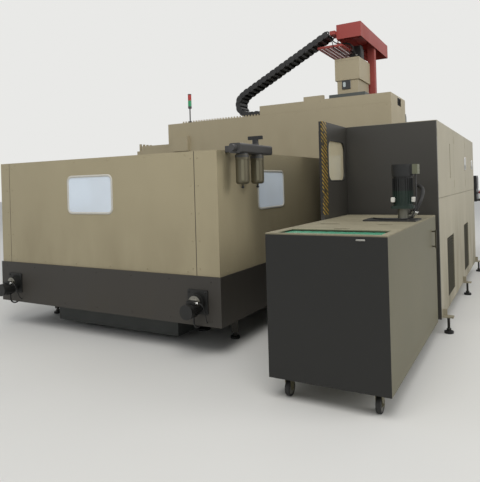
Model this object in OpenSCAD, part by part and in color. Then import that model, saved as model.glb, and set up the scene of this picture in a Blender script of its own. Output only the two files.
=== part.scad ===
// Double-column machining center. Millimetres.
// The origin is on the floor, on the bed's centreline, under the middle of the bridge.
// X runs along the cross beam, Y along the table's travel, Z up.

/* [Bed and table] */
// Length of the bed casting
bed_len = 9000; // [8800:50:9200]
// Width of the bed casting
bed_w = 1700; // [1650:10:1740]
// Height of the bed's top face above the floor
bed_top = 600; // [590:5:612]
// Underside of the castings above the floor
foot_h = 60; // [50:1:75]
// Wall of the iron castings
cast_wall = 50; // [35:1:60]
// Length of the table
table_len = 3200; // [3000:20:3240]
// Width of the table
table_w = 1800; // [1700:10:1900]
// Thickness of the table plate
table_t = 250; // [230:5:265]
// Height of the table's top face
table_top = 1000; // [995:5:1020]
// Distance between T-slots
slot_pitch = 200; // [180:5:240]
// Width of a T-slot's mouth
slot_w = 22; // [18:1:28]
// Distance between the two bed rails
rail_gap = 1120; // [1000:10:1200]
// Width of a linear rail
rail_w = 65; // [55:1:70]
// Height of a linear rail
rail_h = 53; // [45:1:56]
// Radius of the table's ball screw
screw_r = 40; // [30:1:45]
// Travel of the table each way from the middle
table_travel = 1500; // [1400:10:1500]

/* [Table guards] */
// Half width of the guard, to the outside of the sheet
guard_half = 1510; // [1500:1:1530]
// How far a guard's end face stands beyond the bed's end
guard_reach = 240; // [200:10:300]
// Bottom edge of the pale panels
guard_bottom = 735; // [720:5:760]
// Top edge of the pale panels
guard_top = 1885; // [1850:5:1895]
// Sheet thickness of the guards
sheet = 3; // [2:0.5:4]
// Width of the folded lips
lip = 40; // [30:1:48]
// How far the dark skirt stands outside the panels
skirt_proud = 12; // [9:1:16]
// Bottom edge of the dark skirt
skirt_bottom = 280; // [260:5:300]
// Place of the left seam in an end panel
seam_left = -1360; // [-1380:5:-1340]
// Place of the right seam in an end panel
seam_right = 1260; // [1240:5:1280]
// Width of the gap at a seam
seam_gap = 8; // [5:1:14]
// Width of a guard window
win_w = 622; // [580:2:660]
// Height of a guard window
win_h = 382; // [350:2:400]
// Height of the windows' middle
win_z = 1503; // [1480:1:1520]
// Corner radius of the windows
win_r = 50; // [35:1:60]
// Middle of the end window
end_win_x = -76; // [-120:1:0]
// Middle of the side windows, from the guard's end face
side_win_in = 1110; // [1040:10:1240]
// Width of a window rim's face
rim_w = 16; // [12:1:24]
// Side of the square tubes behind the guards
tube = 50; // [40:1:58]
// Start of the operator's door opening
door_start = 1000; // [900:10:1080]
// Length of the operator's door
door_len = 1100; // [1050:10:1120]

/* [Chip augers] */
// Distance of each auger from the middle
auger_x = 1275; // [1260:1:1290]
// Height of the auger axis
auger_z = 500; // [490:1:510]
// Outer radius of the coil
auger_r = 88; // [80:1:92]
// Inside radius of the trough
trough_r = 100; // [97:1:110]
// Wall of the trough
trough_t = 4; // [3:0.5:6]
// Distance from one turn of the coil to the next
coil_pitch = 260; // [230:5:320]
// Radius of the drive stub
stub_r = 25; // [20:1:30]
// Width of the drive's flange plate
flange_w = 220; // [200:2:240]
// Thickness of the drive's flange plate
flange_t = 12; // [10:1:16]
// Radius of the gearbox
gear_r = 84; // [76:1:90]
// Length of the gearbox
gear_len = 40; // [36:1:60]
// Depth of the drive's bore for the stub
stub_bore = 30; // [22:1:34]
// Radius of the gear motor
gmotor_r = 66; // [58:1:70]
// Length of the gear motor
gmotor_len = 150; // [130:5:180]
// Drop of the motor below the auger axis
gmotor_drop = 55; // [40:1:60]

/* [Bridge] */
// Half length of the cross beam
beam_half = 2140; // [2100:5:2160]
// Half depth of the columns along Y
column_half_y = 600; // [590:2:610]
// Underside of the cross beam
beam_bottom = 1950; // [1940:5:1980]
// Top of the cross beam
beam_top = 2700; // [2680:5:2710]
// Half depth of the cross beam along Y
beam_half_y = 560; // [540:5:580]
// Distance from the middle to the beam cover's near face
cover_y = 620; // [615:1:640]
// Bottom edge of the beam cover
cover_bottom = 1900; // [1898:1:1920]
// Deck height of the beam cover
deck_z = 2770; // [2765:1:2790]
// Top of the raised strip
strip_top = 2930; // [2910:5:2940]
// Where the raised strip starts
strip_x = -130; // [-160:5:-100]
// Height of the lower rail on the beam
beam_rail_lo = 2120; // [2100:5:2150]
// Height of the upper rail on the beam
beam_rail_hi = 2600; // [2560:5:2620]
// Radius of the saddle's ball screw
cross_screw_r = 25; // [20:1:30]

/* [Head] */
// Middle of the saddle at rest, along the beam
head_x = 1340; // [1320:1:1360]
// Middle of the ram from the saddle's middle
ram_shift = -240; // [-260:5:-220]
// Underside of the saddle's top plate
saddle_z = 2950; // [2945:1:2970]
// Thickness of the saddle's plates
saddle_t = 100; // [80:5:110]
// Side of the square ram
ram_w = 380; // [340:5:400]
// Middle of the ram from the bridge's middle
ram_y = 1010; // [1005:1:1020]
// Underside of the ram at rest
ram_bottom = 1870; // [1850:5:1880]
// Length of the ram
ram_len = 1360; // [1300:10:1400]
// Radius of the spindle nose
nose_r = 100; // [90:1:115]
// Radius of the spindle shaft
spindle_r = 65; // [55:1:75]
// Width of the head cover's upper box
head_w = 420; // [400:5:430]
// Front face of the head cover's upper box
head_y0 = -220; // [-230:1:-215]
// Back face of the head cover's upper box
head_y1 = 460; // [440:2:465]
// Bottom of the upper box
head_z0 = 3280; // [3250:5:3300]
// Top of the upper box
head_z1 = 3650; // [3620:5:3680]
// How much the lower box is narrower on each side
head_step = 30; // [20:1:45]
// Side of the square display
display_w = 150; // [120:2:170]

/* [Carrier arm] */
// Left side of the arm
arm_x0 = 1240; // [1235:1:1255]
// Right side of the arm
arm_x1 = 1650; // [1640:5:1700]
// Near end of the arm
arm_y0 = -420; // [-440:5:-400]
// Far end of the arm
arm_y1 = 1430; // [1400:5:1460]
// Bottom edge of the arm
arm_z0 = 3930; // [3925:1:3945]
// Height of the arm
arm_h = 240; // [220:2:250]
// Sheet thickness of the arm
arm_t = 5; // [4:0.5:8]
// Left side of the tray
tray_x0 = 900; // [880:5:950]
// Floor height of the tray
tray_z = 3815; // [3805:1:3830]
// Height of the tray's rim
tray_rim = 35; // [28:1:45]
// Width of the arm's post
post_w = 120; // [100:2:130]

/* [Cable chain] */
// Length of one link, pin to pin
link_pitch = 100; // [90:2:110]
// Height of a link
link_h = 100; // [90:1:104]
// Width of the chain
chain_w = 300; // [280:2:310]
// Near side of the chain
chain_y = -520; // [-525:1:-505]
// Fixed end of the chain
chain_x0 = 200; // [150:5:250]
// Middle of the chain's bend
bend_x = -430; // [-460:5:-400]
// Radius of the chain's bend
bend_r = 200; // [190:1:215]
// Rise of the upper run
run_angle = 27; // [26.5:0.1:27.5]

/* [Air filter] */
// Middle of the filter unit from the centreline
filter_x = 1660; // [1640:2:1680]
// Near end of the manifold, from the guard's end face
filter_in = 70; // [60:5:100]
// Length of the manifold
filter_len = 650; // [600:5:680]
// Underside of the manifold
filter_z = 1850; // [1840:1:1870]
// Height of the manifold
filter_h = 90; // [80:1:100]
// Radius of a filter bowl
bowl_r = 62; // [50:1:68]
// Length of a filter bowl
bowl_len = 270; // [240:5:290]

/* [Hydraulics and stack light] */
// Width of the hydraulic cabinet
hyd_w = 857; // [800:1:880]
// Height of the hydraulic cabinet
hyd_top = 2410; // [2380:5:2440]
// Place of the stack light, from the left end of the beam
stack_in = 500; // [480:5:540]
// Radius of the stack light's lenses
lens_r = 35; // [28:1:38]
// Height of one lens
lens_h = 110; // [90:1:120]

/* [Electrical cabinet] */
// Space between the beam's end and the cabinet's back
cab_gap = 160; // [150:5:190]
// Depth of the cabinet, from its back to its doors
cab_deep = 860; // [830:5:880]
// How far behind the guard's end face the cabinet starts
cab_back = 1540; // [1530:5:1560]
// Far end of the cabinet
cab_y1 = 810; // [800:5:850]
// Underside of the cabinet
cab_z0 = 160; // [150:2:180]
// Top of the cabinet
cab_z1 = 2160; // [2140:5:2200]
// Height of the seam between doors and lower panels
cab_seam = 1370; // [1350:2:1390]
// Thickness of a cabinet door
door_t = 22; // [18:1:28]
// Height of the end guard
wing_top = 2150; // [2140:1:2160]
// Thickness of the end guard
wing_t = 40; // [30:1:45]
// Length of the end guard's wing
wing_len = 780; // [750:5:810]

/* [Coolant tank] */
// Width of the tank
tank_w = 880; // [860:2:890]
// Length of the tank
tank_len = 1990; // [1960:5:2010]
// How far the tank's near end stands in front of the guard
tank_front = 570; // [550:5:590]
// How far the tank stands out past the cabinet's back
tank_proud = 40; // [30:1:45]
// Underside of the tank
tank_z0 = 160; // [155:1:175]
// Top of the tank
tank_z1 = 1210; // [1195:1:1220]
// Sheet thickness of the tank
tank_t = 4; // [3:0.5:5]
// Radius of a caster wheel
wheel_r = 60; // [52:1:62]

/* [Tool magazine] */
// Near face of the magazine guard
mag_y0 = -2720; // [-2740:5:-2700]
// Far face of the magazine guard
mag_y1 = -800; // [-820:5:-780]
// Bottom of the magazine guard
mag_z0 = 900; // [880:5:920]
// Top of the magazine guard
mag_z1 = 2190; // [2170:5:2200]
// Width of the magazine guard
mag_w = 465; // [455:5:500]
// Number of tool pots
pots = 24; // [16:1:28]

/* [Hidden] */
$fn = 48;
e = 1;
beige = [0.78, 0.73, 0.62];
dark = [0.25, 0.25, 0.24];
iron = [0.45, 0.47, 0.46];
steel = [0.72, 0.73, 0.74];
black = [0.08, 0.08, 0.09];
red = [0.68, 0.16, 0.13];
pale = [0.82, 0.81, 0.76];

// Running gap between bodies, and radial gap of a shaft in its bore
gap = 0.3;
fit = 0.05;

// Outer faces of the skirt, and the plane that the seats of the guards share
guard_end = bed_len / 2 + guard_reach;
side_win_y = guard_end - side_win_in;
skirt_half = guard_half + skirt_proud;
skirt_end = guard_end + skirt_proud;
column_in = skirt_half - sheet;
end_y = guard_end - sheet - tube;
trough_end = end_y - 5;
rail_seat = bed_top;
truck_h = table_top - table_t - bed_top - rail_h;
screw_z = bed_top - 120;
trough_z = auger_z - trough_r - trough_t;
tie_z = trough_z - 60;
tie2_z = auger_z + trough_r + 20;
cover_step = 10;
cover_end = end_y - cover_step;
cover_len = (cover_end - table_len / 2 + table_travel) / 3 + 25;
screw_half = table_travel + 500;

// Places of the units that stand round the machine
cab_x0 = beam_half + cab_gap;
cab_x1 = cab_x0 + cab_deep;
tank_x0 = cab_x0 - tank_proud;
tank_x1 = tank_x0 + tank_w;
tank_y0 = -guard_end - tank_front;
tank_y1 = tank_y0 + tank_len;
filter_y = filter_in - guard_end;
stack_x = stack_in - beam_half;
cab_y0 = cab_back - guard_end;
wing_y = cab_y0 - wing_len;

// Points on a circle's arc, and a rectangle with round corners about the origin
function arc(cx, cy, r, a0, a1, n) =
  [for (i = [0:n]) let (a = a0 + (a1 - a0) * i / n) [cx + r * cos(a), cy + r * sin(a)]];
function round_rect(w, h, r) = concat(
  arc(w / 2 - r, h / 2 - r, r, 0, 90, 6), arc(r - w / 2, h / 2 - r, r, 90, 180, 6),
  arc(r - w / 2, r - h / 2, r, 180, 270, 6), arc(w / 2 - r, r - h / 2, r, 270, 360, 6));

// A box given by its lowest and highest corners
module block(lo, hi) {
  translate(lo) cube(hi - lo);
}

// A plate that faces along Y, with its near face at y
module plate_y(points, x, y, z, t) {
  translate([x, y, z]) rotate([90, 0, 0]) translate([0, 0, -t]) linear_extrude(t) polygon(points);
}

// A plate that faces along X, with its left face at x
module plate_x(points, x, y, z, t) {
  translate([x, y, z]) rotate([90, 0, 90]) linear_extrude(t) polygon(points);
}

// A section in X and Z, carried along Y from y0 to y1
module along_y(points, y0, y1) {
  translate([0, y1, 0]) rotate([90, 0, 0]) linear_extrude(y1 - y0) polygon(points);
}

// Round bars along each axis
module bar_x(x0, x1, y, z, r) {
  translate([x0, y, z]) rotate([0, 90, 0]) cylinder(r = r, h = x1 - x0);
}
module bar_y(y0, y1, x, z, r) {
  translate([x, y1, z]) rotate([90, 0, 0]) cylinder(r = r, h = y1 - y0);
}
module bar_z(z0, z1, x, y, r) {
  translate([x, y, z0]) cylinder(r = r, h = z1 - z0);
}

// A child and its mirror image across the middle of the machine, in X or in Y
module both_x() {
  children();
  mirror([1, 0, 0]) children();
}
module both_y() {
  children();
  mirror([0, 1, 0]) children();
}

// Bed: an iron casting, open below, with a trough for the ball screw and windows in its sides
bed_rib = 750;
trough_half = 150;
module bed() {
  color(iron) {
    difference() {
      block([-bed_w / 2, -bed_len / 2, foot_h], [bed_w / 2, bed_len / 2, bed_top]);
      // Open underside, between the cross ribs
      for (y = [-bed_len / 2 + cast_wall : bed_rib : bed_len / 2 - bed_rib])
        for (s = [-1, 1])
          translate([s * (bed_w / 2 + trough_half) / 2, y + bed_rib / 2 - cast_wall / 2, foot_h - e])
            linear_extrude(bed_top - foot_h - cast_wall * 1.6 + e)
              square([bed_w / 2 - trough_half - cast_wall * 2, bed_rib - cast_wall], center = true);
      // Trough for the ball screw
      block([-trough_half, -bed_len / 2 - e, screw_z - 110], [trough_half, bed_len / 2 + e, bed_top + e]);
      // Cast windows in both sides
      for (y = [-bed_len / 2 + cast_wall + bed_rib / 2 : bed_rib : bed_len / 2 - bed_rib / 2])
        plate_x(round_rect(bed_rib * 0.4, 140, 60), -bed_w / 2 - e, y - cast_wall / 2,
          (foot_h + tie_z) / 2 + 20, bed_w + 2 * e);
    }
    // Bearing walls of the ball screw
    for (s = [-1, 1])
      difference() {
        translate([-trough_half, s * screw_half - 40, screw_z - 110])
          cube([2 * trough_half, 80, 110 + screw_r + 25]);
        bar_y(s * screw_half - 40 - e, s * screw_half + 40 + e, 0, screw_z, screw_r * 0.75 + fit);
      }
  }
}

// Levelling feet: a pad, a stud and a nut for each
pad_r = 80;
module foot(x, y, top, r) {
  bar_z(0, 22, x, y, r);
  bar_z(20, top, x, y, r * 0.3);
  bar_z(30, 48, x, y, r * 0.5);
}
bed_foot_step = bed_len / 9;
cab_foot_r = 45;
module levelling_feet() {
  color(steel) {
    for (y = [-4 * bed_foot_step : bed_foot_step : 4 * bed_foot_step])
      for (s = [-1, 1]) foot(s * (bed_w / 2 - cast_wall / 2), y, foot_h, pad_r * 0.9);
    for (y = [-1, 0, 1]) foot(0, y * 4 * bed_foot_step, foot_h, pad_r * 0.9);
    both_x() both_y() for (x = [column_in + pad_r, beam_half - pad_r])
      foot(x, column_half_y - pad_r, foot_h, pad_r * 0.9);
    both_x() both_y() for (y = leg_ys) foot(leg_x, y, leg_z, pad_r * 0.6);
    for (x = [cab_x0 + cab_foot_r, cab_x1 + bracket_l / 2]) for (y = cab_feet) foot(x, y, cab_z0, cab_foot_r);
    foot(tank_x0 - wing_t / 2 - 20, wing_y + cab_foot_r, cab_z0, wing_t / 2 - 1);
    for (x = [-beam_half - sheet - hyd_w + pad_r, -beam_half - sheet - pad_r])
      for (y = [hyd_y0 + pad_r, hyd_y1 - pad_r]) foot(x, y, hyd_z0, cab_foot_r);
    for (x = [mag_x0 + pad_r, mag_x1 - pad_r])
      for (y = [mag_y0 + 2 * pad_r, mag_y1 - 2 * pad_r]) foot(x, y, foot_h, cab_foot_r);
  }
}

// Columns: hollow iron castings with cast windows in their outer faces
module columns() {
  color(iron) both_x() difference() {
    block([column_in, -column_half_y, foot_h], [beam_half, column_half_y, beam_bottom]);
    block([column_in + cast_wall, -column_half_y + cast_wall, foot_h + cast_wall],
      [beam_half - cast_wall, column_half_y - cast_wall, beam_bottom - cast_wall]);
    for (z = [500, 1000, 1500])
      for (s = [-1, 1])
        plate_x(round_rect(380, 300, 60), beam_half - cast_wall - e, s * 260, z, cast_wall + 2 * e);
  }
}

// Cross beam: a hollow iron casting on the columns, with seats for two rails on its far face
beam_seat = 30;
module cross_beam() {
  color(iron) {
    difference() {
      union() {
        block([-beam_half, -beam_half_y, beam_bottom], [beam_half, beam_half_y - beam_seat, beam_top]);
        for (z = [beam_rail_lo, beam_rail_hi])
          block([-beam_half, beam_half_y - beam_seat - e, z - rail_w], [beam_half, beam_half_y, z + rail_w]);
      }
      for (s = [-1, 0, 1])
        translate([s * beam_half * 0.66 - beam_half * 0.31, -beam_half_y + cast_wall, beam_bottom + cast_wall])
          cube([beam_half * 0.62, 2 * beam_half_y - beam_seat - 2 * cast_wall,
            beam_top - beam_bottom - 2 * cast_wall]);
      // Core holes in the ends and the inner walls
      bar_x(-beam_half - e, beam_half + e, -60, (beam_bottom + beam_top) / 2, 150);
    }
    // Bearing brackets of the saddle's ball screw
    for (s = [-1, 1])
      difference() {
        translate([s * (beam_half - 30) - 30, beam_half_y - beam_seat - e, cross_screw_z - 45])
          cube([60, beam_seat + 75, 90]);
        bar_x(s * (beam_half - 30) - 31, s * (beam_half - 30) + 31, cross_screw_y,
          cross_screw_z, cross_screw_r * 0.75 + fit);
      }
  }
}
cross_screw_z = (beam_rail_lo + beam_rail_hi) / 2;
cross_screw_y = beam_half_y + 20;

// Section of a linear rail
function rail_section(w, h) = [[-w / 2, 0], [w / 2, 0], [w / 2, h * 0.35], [w * 0.36, h * 0.5],
  [w / 2, h * 0.68], [w / 2, h - 3], [w / 2 - 3, h], [3 - w / 2, h], [-w / 2, h - 3],
  [-w / 2, h * 0.68], [-w * 0.36, h * 0.5], [-w / 2, h * 0.35]];
module linear_rails() {
  color(steel) {
    for (s = [-1, 1])
      translate([s * rail_gap / 2, bed_len / 2 - 100, rail_seat]) rotate([90, 0, 0])
        linear_extrude(bed_len - 200) polygon(rail_section(rail_w, rail_h));
    for (z = [beam_rail_lo, beam_rail_hi])
      translate([-beam_half + 40, beam_half_y, z]) rotate([90, 0, 90])
        linear_extrude(2 * beam_half - 80) rotate(-90) polygon(rail_section(rail_w, rail_h));
  }
}

// Servo motors at the far end of the table's screw and at the left end of the saddle's screw
servo_r = 90;
module axis_servos() {
  color(black) {
    translate([-100, screw_half + 40, screw_z - 100]) cube([200, 30, 200]);
    translate([-servo_r, screw_half + 69, screw_z - servo_r]) cube([2 * servo_r, 320, 2 * servo_r]);
    translate([-beam_half - 30, cover_far + 10, cross_screw_z - 70])
      cube([30, cross_screw_y + 60 - cover_far, 140]);
    translate([-beam_half - 290, cross_screw_y - 60, cross_screw_z - 60]) cube([261, 120, 120]);
  }
}

// Beam cover: folded sheet with a deck for the cable chain, a raised strip and a junction box
tray_wall = 40;
tray_start = 290 - beam_half;
deck_y = -180;
cover_far = 450;
joint_w = 4;
box_x = 140 - beam_half;
box_w = 360;
small_box_x = head_x - 640;
module beam_cover() {
  color(beige) {
    difference() {
      union() {
        // Near wall, in two panels with the raised strip
        block([-beam_half - sheet, -cover_y, cover_bottom], [beam_half + sheet, -cover_y + sheet, deck_z]);
        block([strip_x, -cover_y, deck_z - e], [beam_half + sheet, -cover_y + sheet, strip_top]);
        // End walls, against the ends of the beam
        block([-beam_half - sheet, -cover_y, cover_bottom], [-beam_half, cover_far, deck_z]);
        block([beam_half, -cover_y, cover_bottom], [beam_half + sheet, cover_far, strip_top]);
        // Deck
        block([-beam_half - sheet, -cover_y, deck_z - sheet], [beam_half + sheet, deck_y, deck_z]);
        block([-beam_half, deck_y - sheet, beam_top], [beam_half, deck_y, deck_z]);
        // Lips
        block([-column_in + gap, -cover_y, cover_bottom],
          [column_in - gap, -cover_y + lip, cover_bottom + sheet]);
        block([strip_x, -cover_y, strip_top - sheet], [beam_half, -cover_y + lip, strip_top]);
        block([strip_x, -cover_y, deck_z - e], [strip_x + sheet, -cover_y + lip, strip_top]);
      }
      // Vent opening in the right end wall, and the joint line under the strip
      block([beam_half - e, -150, strip_top - 150], [beam_half + sheet + e, 120, strip_top - 20]);
      block([strip_x, -cover_y - e, deck_z],
        [beam_half + sheet + e, -cover_y + sheet / 2, deck_z + joint_w]);
    }
    // Tray for the chain, with a slotted near edge
    difference() {
      union() {
        block([tray_start, chain_y - 12 - sheet, deck_z - e],
          [strip_x - 20, chain_y - 12, deck_z + tray_wall]);
        block([tray_start, chain_y + chain_w + 12, deck_z - e],
          [strip_x - 20, chain_y + chain_w + 12 + sheet, deck_z + tray_wall]);
      }
      for (x = [tray_start + 30 : 60 : strip_x - 60])
        block([x, chain_y - 30, deck_z + tray_wall * 0.4], [x + 30, chain_y, deck_z + tray_wall + e]);
    }
    // Bracket behind the fixed end of the chain
    block([chain_x0 + end_r + gap, chain_y, deck_z - e],
      [chain_x0 + end_r + 20, chain_y + chain_w, deck_z + link_h]);
    // Junction box on the near wall, and a small box on the strip
    block([box_x, -cover_y - 80, cover_bottom + 330], [box_x + box_w, -cover_y, cover_bottom + 610]);
    block([small_box_x, -cover_y + 5, strip_top - e], [small_box_x + 350, -cover_y + 70, strip_top + 70]);
  }
}

// Guard frame: square tubes across the machine under the troughs, legs, and posts behind the seams
leg_x = 1300;
leg_z = 60;
leg_ys = [1000, 2600, guard_end - 600];
module guard_frame() {
  color(dark) both_y() {
    // Outriggers from the bed to the skirt, with their legs
    for (y = leg_ys) both_x() {
      block([bed_w / 2, y - tube / 2, tie_z], [skirt_half - sheet, y + tube / 2, trough_z]);
      block([leg_x - tube / 2, y - tube / 2, leg_z], [leg_x + tube / 2, y + tube / 2, tie_z + e]);
    }
    // Two ties across the end, and the posts behind the seams
    block([-skirt_half + sheet, end_y, tie_z], [skirt_half - sheet, end_y + tube, trough_z]);
    block([-guard_half + sheet, end_y, tie2_z], [guard_half - sheet, end_y + tube, tie2_z + tube]);
    for (x = [auger_x + trough_r + 60, 800]) both_x()
      block([x - tube / 2, end_y, trough_z - e], [x + tube / 2, end_y + tube, tie2_z + e]);
    for (x = [seam_left, seam_right])
      block([x - tube / 2, end_y, tie2_z + tube - e], [x + tube / 2, end_y + tube, guard_top - sheet]);
    // Rail under the side panels
    both_x() block([guard_half - sheet - tube, column_half_y, guard_bottom + sheet],
      [guard_half - sheet, end_y + e, guard_bottom + sheet + tube]);
  }
}

// Guard panels. Each end has a middle panel with a window, and a corner panel on each side.
module post_room() {
  both_y() for (x = [seam_left, seam_right])
    block([x - tube / 2 - 1, end_y - 1, guard_bottom - sheet - e],
      [x + tube / 2 + 1, guard_end - sheet, guard_bottom + sheet + e]);
}
module window_cut_y(x, y, grow) {
  plate_y(round_rect(win_w + grow, win_h + grow, win_r + grow / 2), x, y, win_z, 400);
}
module window_cut_x(x, y, grow) {
  plate_x(round_rect(win_w + grow, win_h + grow, win_r + grow / 2), x, y, win_z, 400);
}
module end_panels() {
  color(beige) difference() {
    both_y() end_panel();
    post_room();
  }
}
module end_panel() {
  difference() {
    union() {
      block([seam_left + seam_gap / 2, guard_end - sheet, guard_bottom],
        [seam_right - seam_gap / 2, guard_end, guard_top]);
      for (z = [guard_bottom, guard_top - sheet])
        block([seam_left + seam_gap / 2, guard_end - lip, z], [seam_right - seam_gap / 2, guard_end, z + sheet]);
    }
    window_cut_y(end_win_x, guard_end - 200, 0);
  }
}
module side_panel(seam) {
  difference() {
    union() {
      block([guard_half - sheet, column_half_y, guard_bottom], [guard_half, guard_end, guard_top]);
      block([seam, guard_end - sheet, guard_bottom], [guard_half, guard_end, guard_top]);
      for (z = [guard_bottom, guard_top - sheet]) {
        block([guard_half - lip, column_half_y, z], [guard_half, guard_end, z + sheet]);
        block([seam, guard_end - lip, z], [guard_half, guard_end, z + sheet]);
      }
    }
    window_cut_x(guard_half - 200, side_win_y, 0);
  }
}
door_z0 = guard_bottom + 110;
door_z1 = guard_top - 60;
module side_panels() {
  color(beige) {
    difference() {
      union() {
        both_y() side_panel(seam_right + seam_gap / 2);
        mirror([1, 0, 0]) both_y() side_panel(-seam_left + seam_gap / 2);
      }
      post_room();
      // Opening behind the operator's door
      block([guard_half - 200, door_start + 40, door_z0 + 40],
        [guard_half + e, door_start + door_len - 40, door_z1 - 40]);
    }
    // Rails that the operator's door slides in
    block([guard_half, door_start - 20, door_z0 - 30], [guard_half + 34, end_door_rail, door_z0 - gap]);
    difference() {
      block([guard_half, door_start - 20, door_z1 - 10], [guard_half + 34, end_door_rail, door_z1 + 12]);
      block([guard_half + 4, door_start - 30, door_z1 - 11],
        [guard_half + 30, end_door_rail + e, door_z1 + gap]);
    }
  }
}
door_slide = door_len - 50;
end_door_rail = door_start + door_len + door_slide + 20;

// Skirts: dark sheet below the panels at both ends
module skirt() {
  difference() {
    block([-skirt_half, column_half_y, skirt_bottom], [skirt_half, skirt_end, guard_bottom]);
    block([-skirt_half + sheet, column_half_y - e, skirt_bottom - e],
      [skirt_half - sheet, skirt_end - sheet, guard_bottom - sheet]);
    block([-skirt_half + lip, column_half_y - e, skirt_bottom - e],
      [skirt_half - lip, skirt_end - lip, guard_bottom + e]);
  }
  // Hem along the bottom edge
  difference() {
    block([-skirt_half, column_half_y, skirt_bottom], [skirt_half, skirt_end, skirt_bottom + sheet]);
    block([-skirt_half + lip * 0.6, column_half_y - e, skirt_bottom - e],
      [skirt_half - lip * 0.6, skirt_end - lip * 0.6, skirt_bottom + sheet + e]);
  }
}
module skirts() {
  color(dark) difference() {
    both_y() skirt();
    post_room();
    // Holes for the augers' stubs
    for (s = [-1, 1]) bar_y(-skirt_end - e, -skirt_end + 20, s * auger_x, auger_z, stub_r + 8);
  }
}

// Window rims and panes
rim_t = 8;
pane_t = 5;
module rim_ring() {
  difference() {
    polygon(round_rect(win_w + 2 * rim_w, win_h + 2 * rim_w, win_r + rim_w));
    polygon(round_rect(win_w - 16, win_h - 16, win_r - 8));
  }
}
module window_rims() {
  color(pale) {
    both_y() translate([end_win_x, guard_end, win_z]) rotate([90, 0, 180]) linear_extrude(rim_t) rim_ring();
    both_x() both_y() translate([guard_half, side_win_y, win_z]) rotate([90, 0, 90])
      linear_extrude(rim_t) rim_ring();
  }
}
module window_panes() {
  pane = round_rect(win_w - 1, win_h - 1, win_r - 0.5);
  color([0.7, 0.8, 0.85, 0.4]) {
    both_y() plate_y(pane, end_win_x, guard_end - pane_t, win_z, pane_t);
    both_x() both_y() plate_x(pane, guard_half - pane_t, side_win_y, win_z, pane_t);
    plate_y(round_rect(mag_win[0] + 30, mag_win[1] + 30, 50), drum_x, mag_y0 + sheet, mag_win_z, pane_t);
    plate_x(round_rect(wing_win[0] - 1, wing_win[1] - 1, 89.5), wing_x0 + wing_t / 2 - 3, wing_mid,
      wing_win_z, 6);
  }
}

// Chip troughs: folded sheet from the bed's side to the skirt
trough_in_z = bed_top - 30;
trough_out_z = bed_top + 40;
function trough_path(r, drop) = concat([[bed_w / 2, trough_in_z - drop]],
  arc(auger_x, auger_z, r, 180, 360, 16), [[skirt_half - sheet, trough_out_z - drop]]);
function reversed(list) = [for (i = [len(list) - 1 : -1 : 0]) list[i]];
module chip_troughs() {
  color(steel) both_x() {
    along_y(concat(trough_path(trough_r, 0), reversed(trough_path(trough_r + trough_t, trough_t * 1.5))),
      -trough_end, trough_end);
    // End plates, with a hole for the stub at the driven end
    difference() {
      both_y() along_y(trough_path(trough_r + trough_t, trough_t * 1.5), trough_end - trough_t, trough_end);
      bar_y(-trough_end - e, 0, auger_x, auger_z, stub_r + 5);
    }
  }
}

// Auger drives: a flange, a round gearbox with a bright cap, and a motor with a fan cowl
motor_z = auger_z - gmotor_drop;
gear_y = -skirt_end - flange_t - gear_len;
gmotor_y = gear_y - gmotor_len;
module auger_drives() {
  color(dark) for (s = [-1, 1]) translate([s * auger_x, 0, 0]) {
    difference() {
      union() {
        plate_y(round_rect(flange_w, flange_w, 12), 0, -skirt_end - flange_t, auger_z, flange_t);
        bar_y(gear_y, -skirt_end - flange_t + e, 0, auger_z, gear_r);
        bar_y(gear_y - 12, gear_y + e, 0, auger_z, gear_r * 0.86);
        // Motor with its cooling fins and cowl
        bar_y(gmotor_y, gear_y + e, 0, motor_z, gmotor_r - 6);
        for (a = [0 : 15 : 345])
          translate([0, gmotor_y + 50, motor_z]) rotate([90, a, 0]) translate([0, -2, -gmotor_len + 70])
            cube([gmotor_r, 4, gmotor_len - 80]);
        bar_y(gmotor_y, gmotor_y + 45, 0, motor_z, gmotor_r + 2);
        // Terminal box
        translate([-40, gmotor_y + 66, motor_z + gmotor_r * 0.7]) cube([80, 56, gmotor_r * 0.3 + 20]);
      }
      bar_y(-skirt_end - flange_t - stub_bore, -skirt_end + e, 0, auger_z, stub_r + fit);
    }
  }
}

// Augers: a flat bar wound into a coil, welded to a hub at its driven end
bar_w = 26;
bar_t = 16;
hub_len = 46;
coil_end = trough_end - trough_t - hub_len - 6;
coil_len = 2 * coil_end;
stub_len = skirt_end + flange_t + stub_bore - 1 - coil_end - hub_len + 3;
coil_steps = round(12 * coil_len / coil_pitch);
// Corners of the bar at step i of the coil, which climbs one pitch in 12 steps
function coil_ring(i, hand) = let (a = 30 * i * hand, z = coil_len * i / coil_steps)
  [for (c = [[0, 0], [bar_w, 0], [bar_w, bar_t], [0, bar_t]])
    [(auger_r - bar_w + c[0]) * cos(a), (auger_r - bar_w + c[0]) * sin(a), z + c[1]]];
module coil(hand) {
  n = coil_steps;
  sides = [for (i = [0 : n - 1]) for (k = [0 : 3]) let (a = 4 * i + k, b = 4 * i + (k + 1) % 4)
    each [[a, b, b + 4], [a, b + 4, a + 4]]];
  faces = concat([[3, 2, 1], [3, 1, 0]], sides,
    [[4 * n, 4 * n + 1, 4 * n + 2], [4 * n, 4 * n + 2, 4 * n + 3]]);
  polyhedron(points = [for (i = [0 : n]) each coil_ring(i, hand)],
    faces = hand > 0 ? faces : [for (f = faces) reversed(f)]);
}
module auger(x, hand) {
  translate([x, -coil_end, auger_z]) rotate([-90, 0, 0]) {
    coil(hand);
    translate([0, 0, 1 - hub_len]) cylinder(r = auger_r - bar_w / 2, h = hub_len);
    translate([0, 0, 3 - hub_len - stub_len]) cylinder(r = stub_r, h = stub_len);
  }
}
module auger_left() {
  color(steel) auger(-auger_x, 1);
}
module auger_right() {
  color(steel) auger(auger_x, -1);
}

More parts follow.
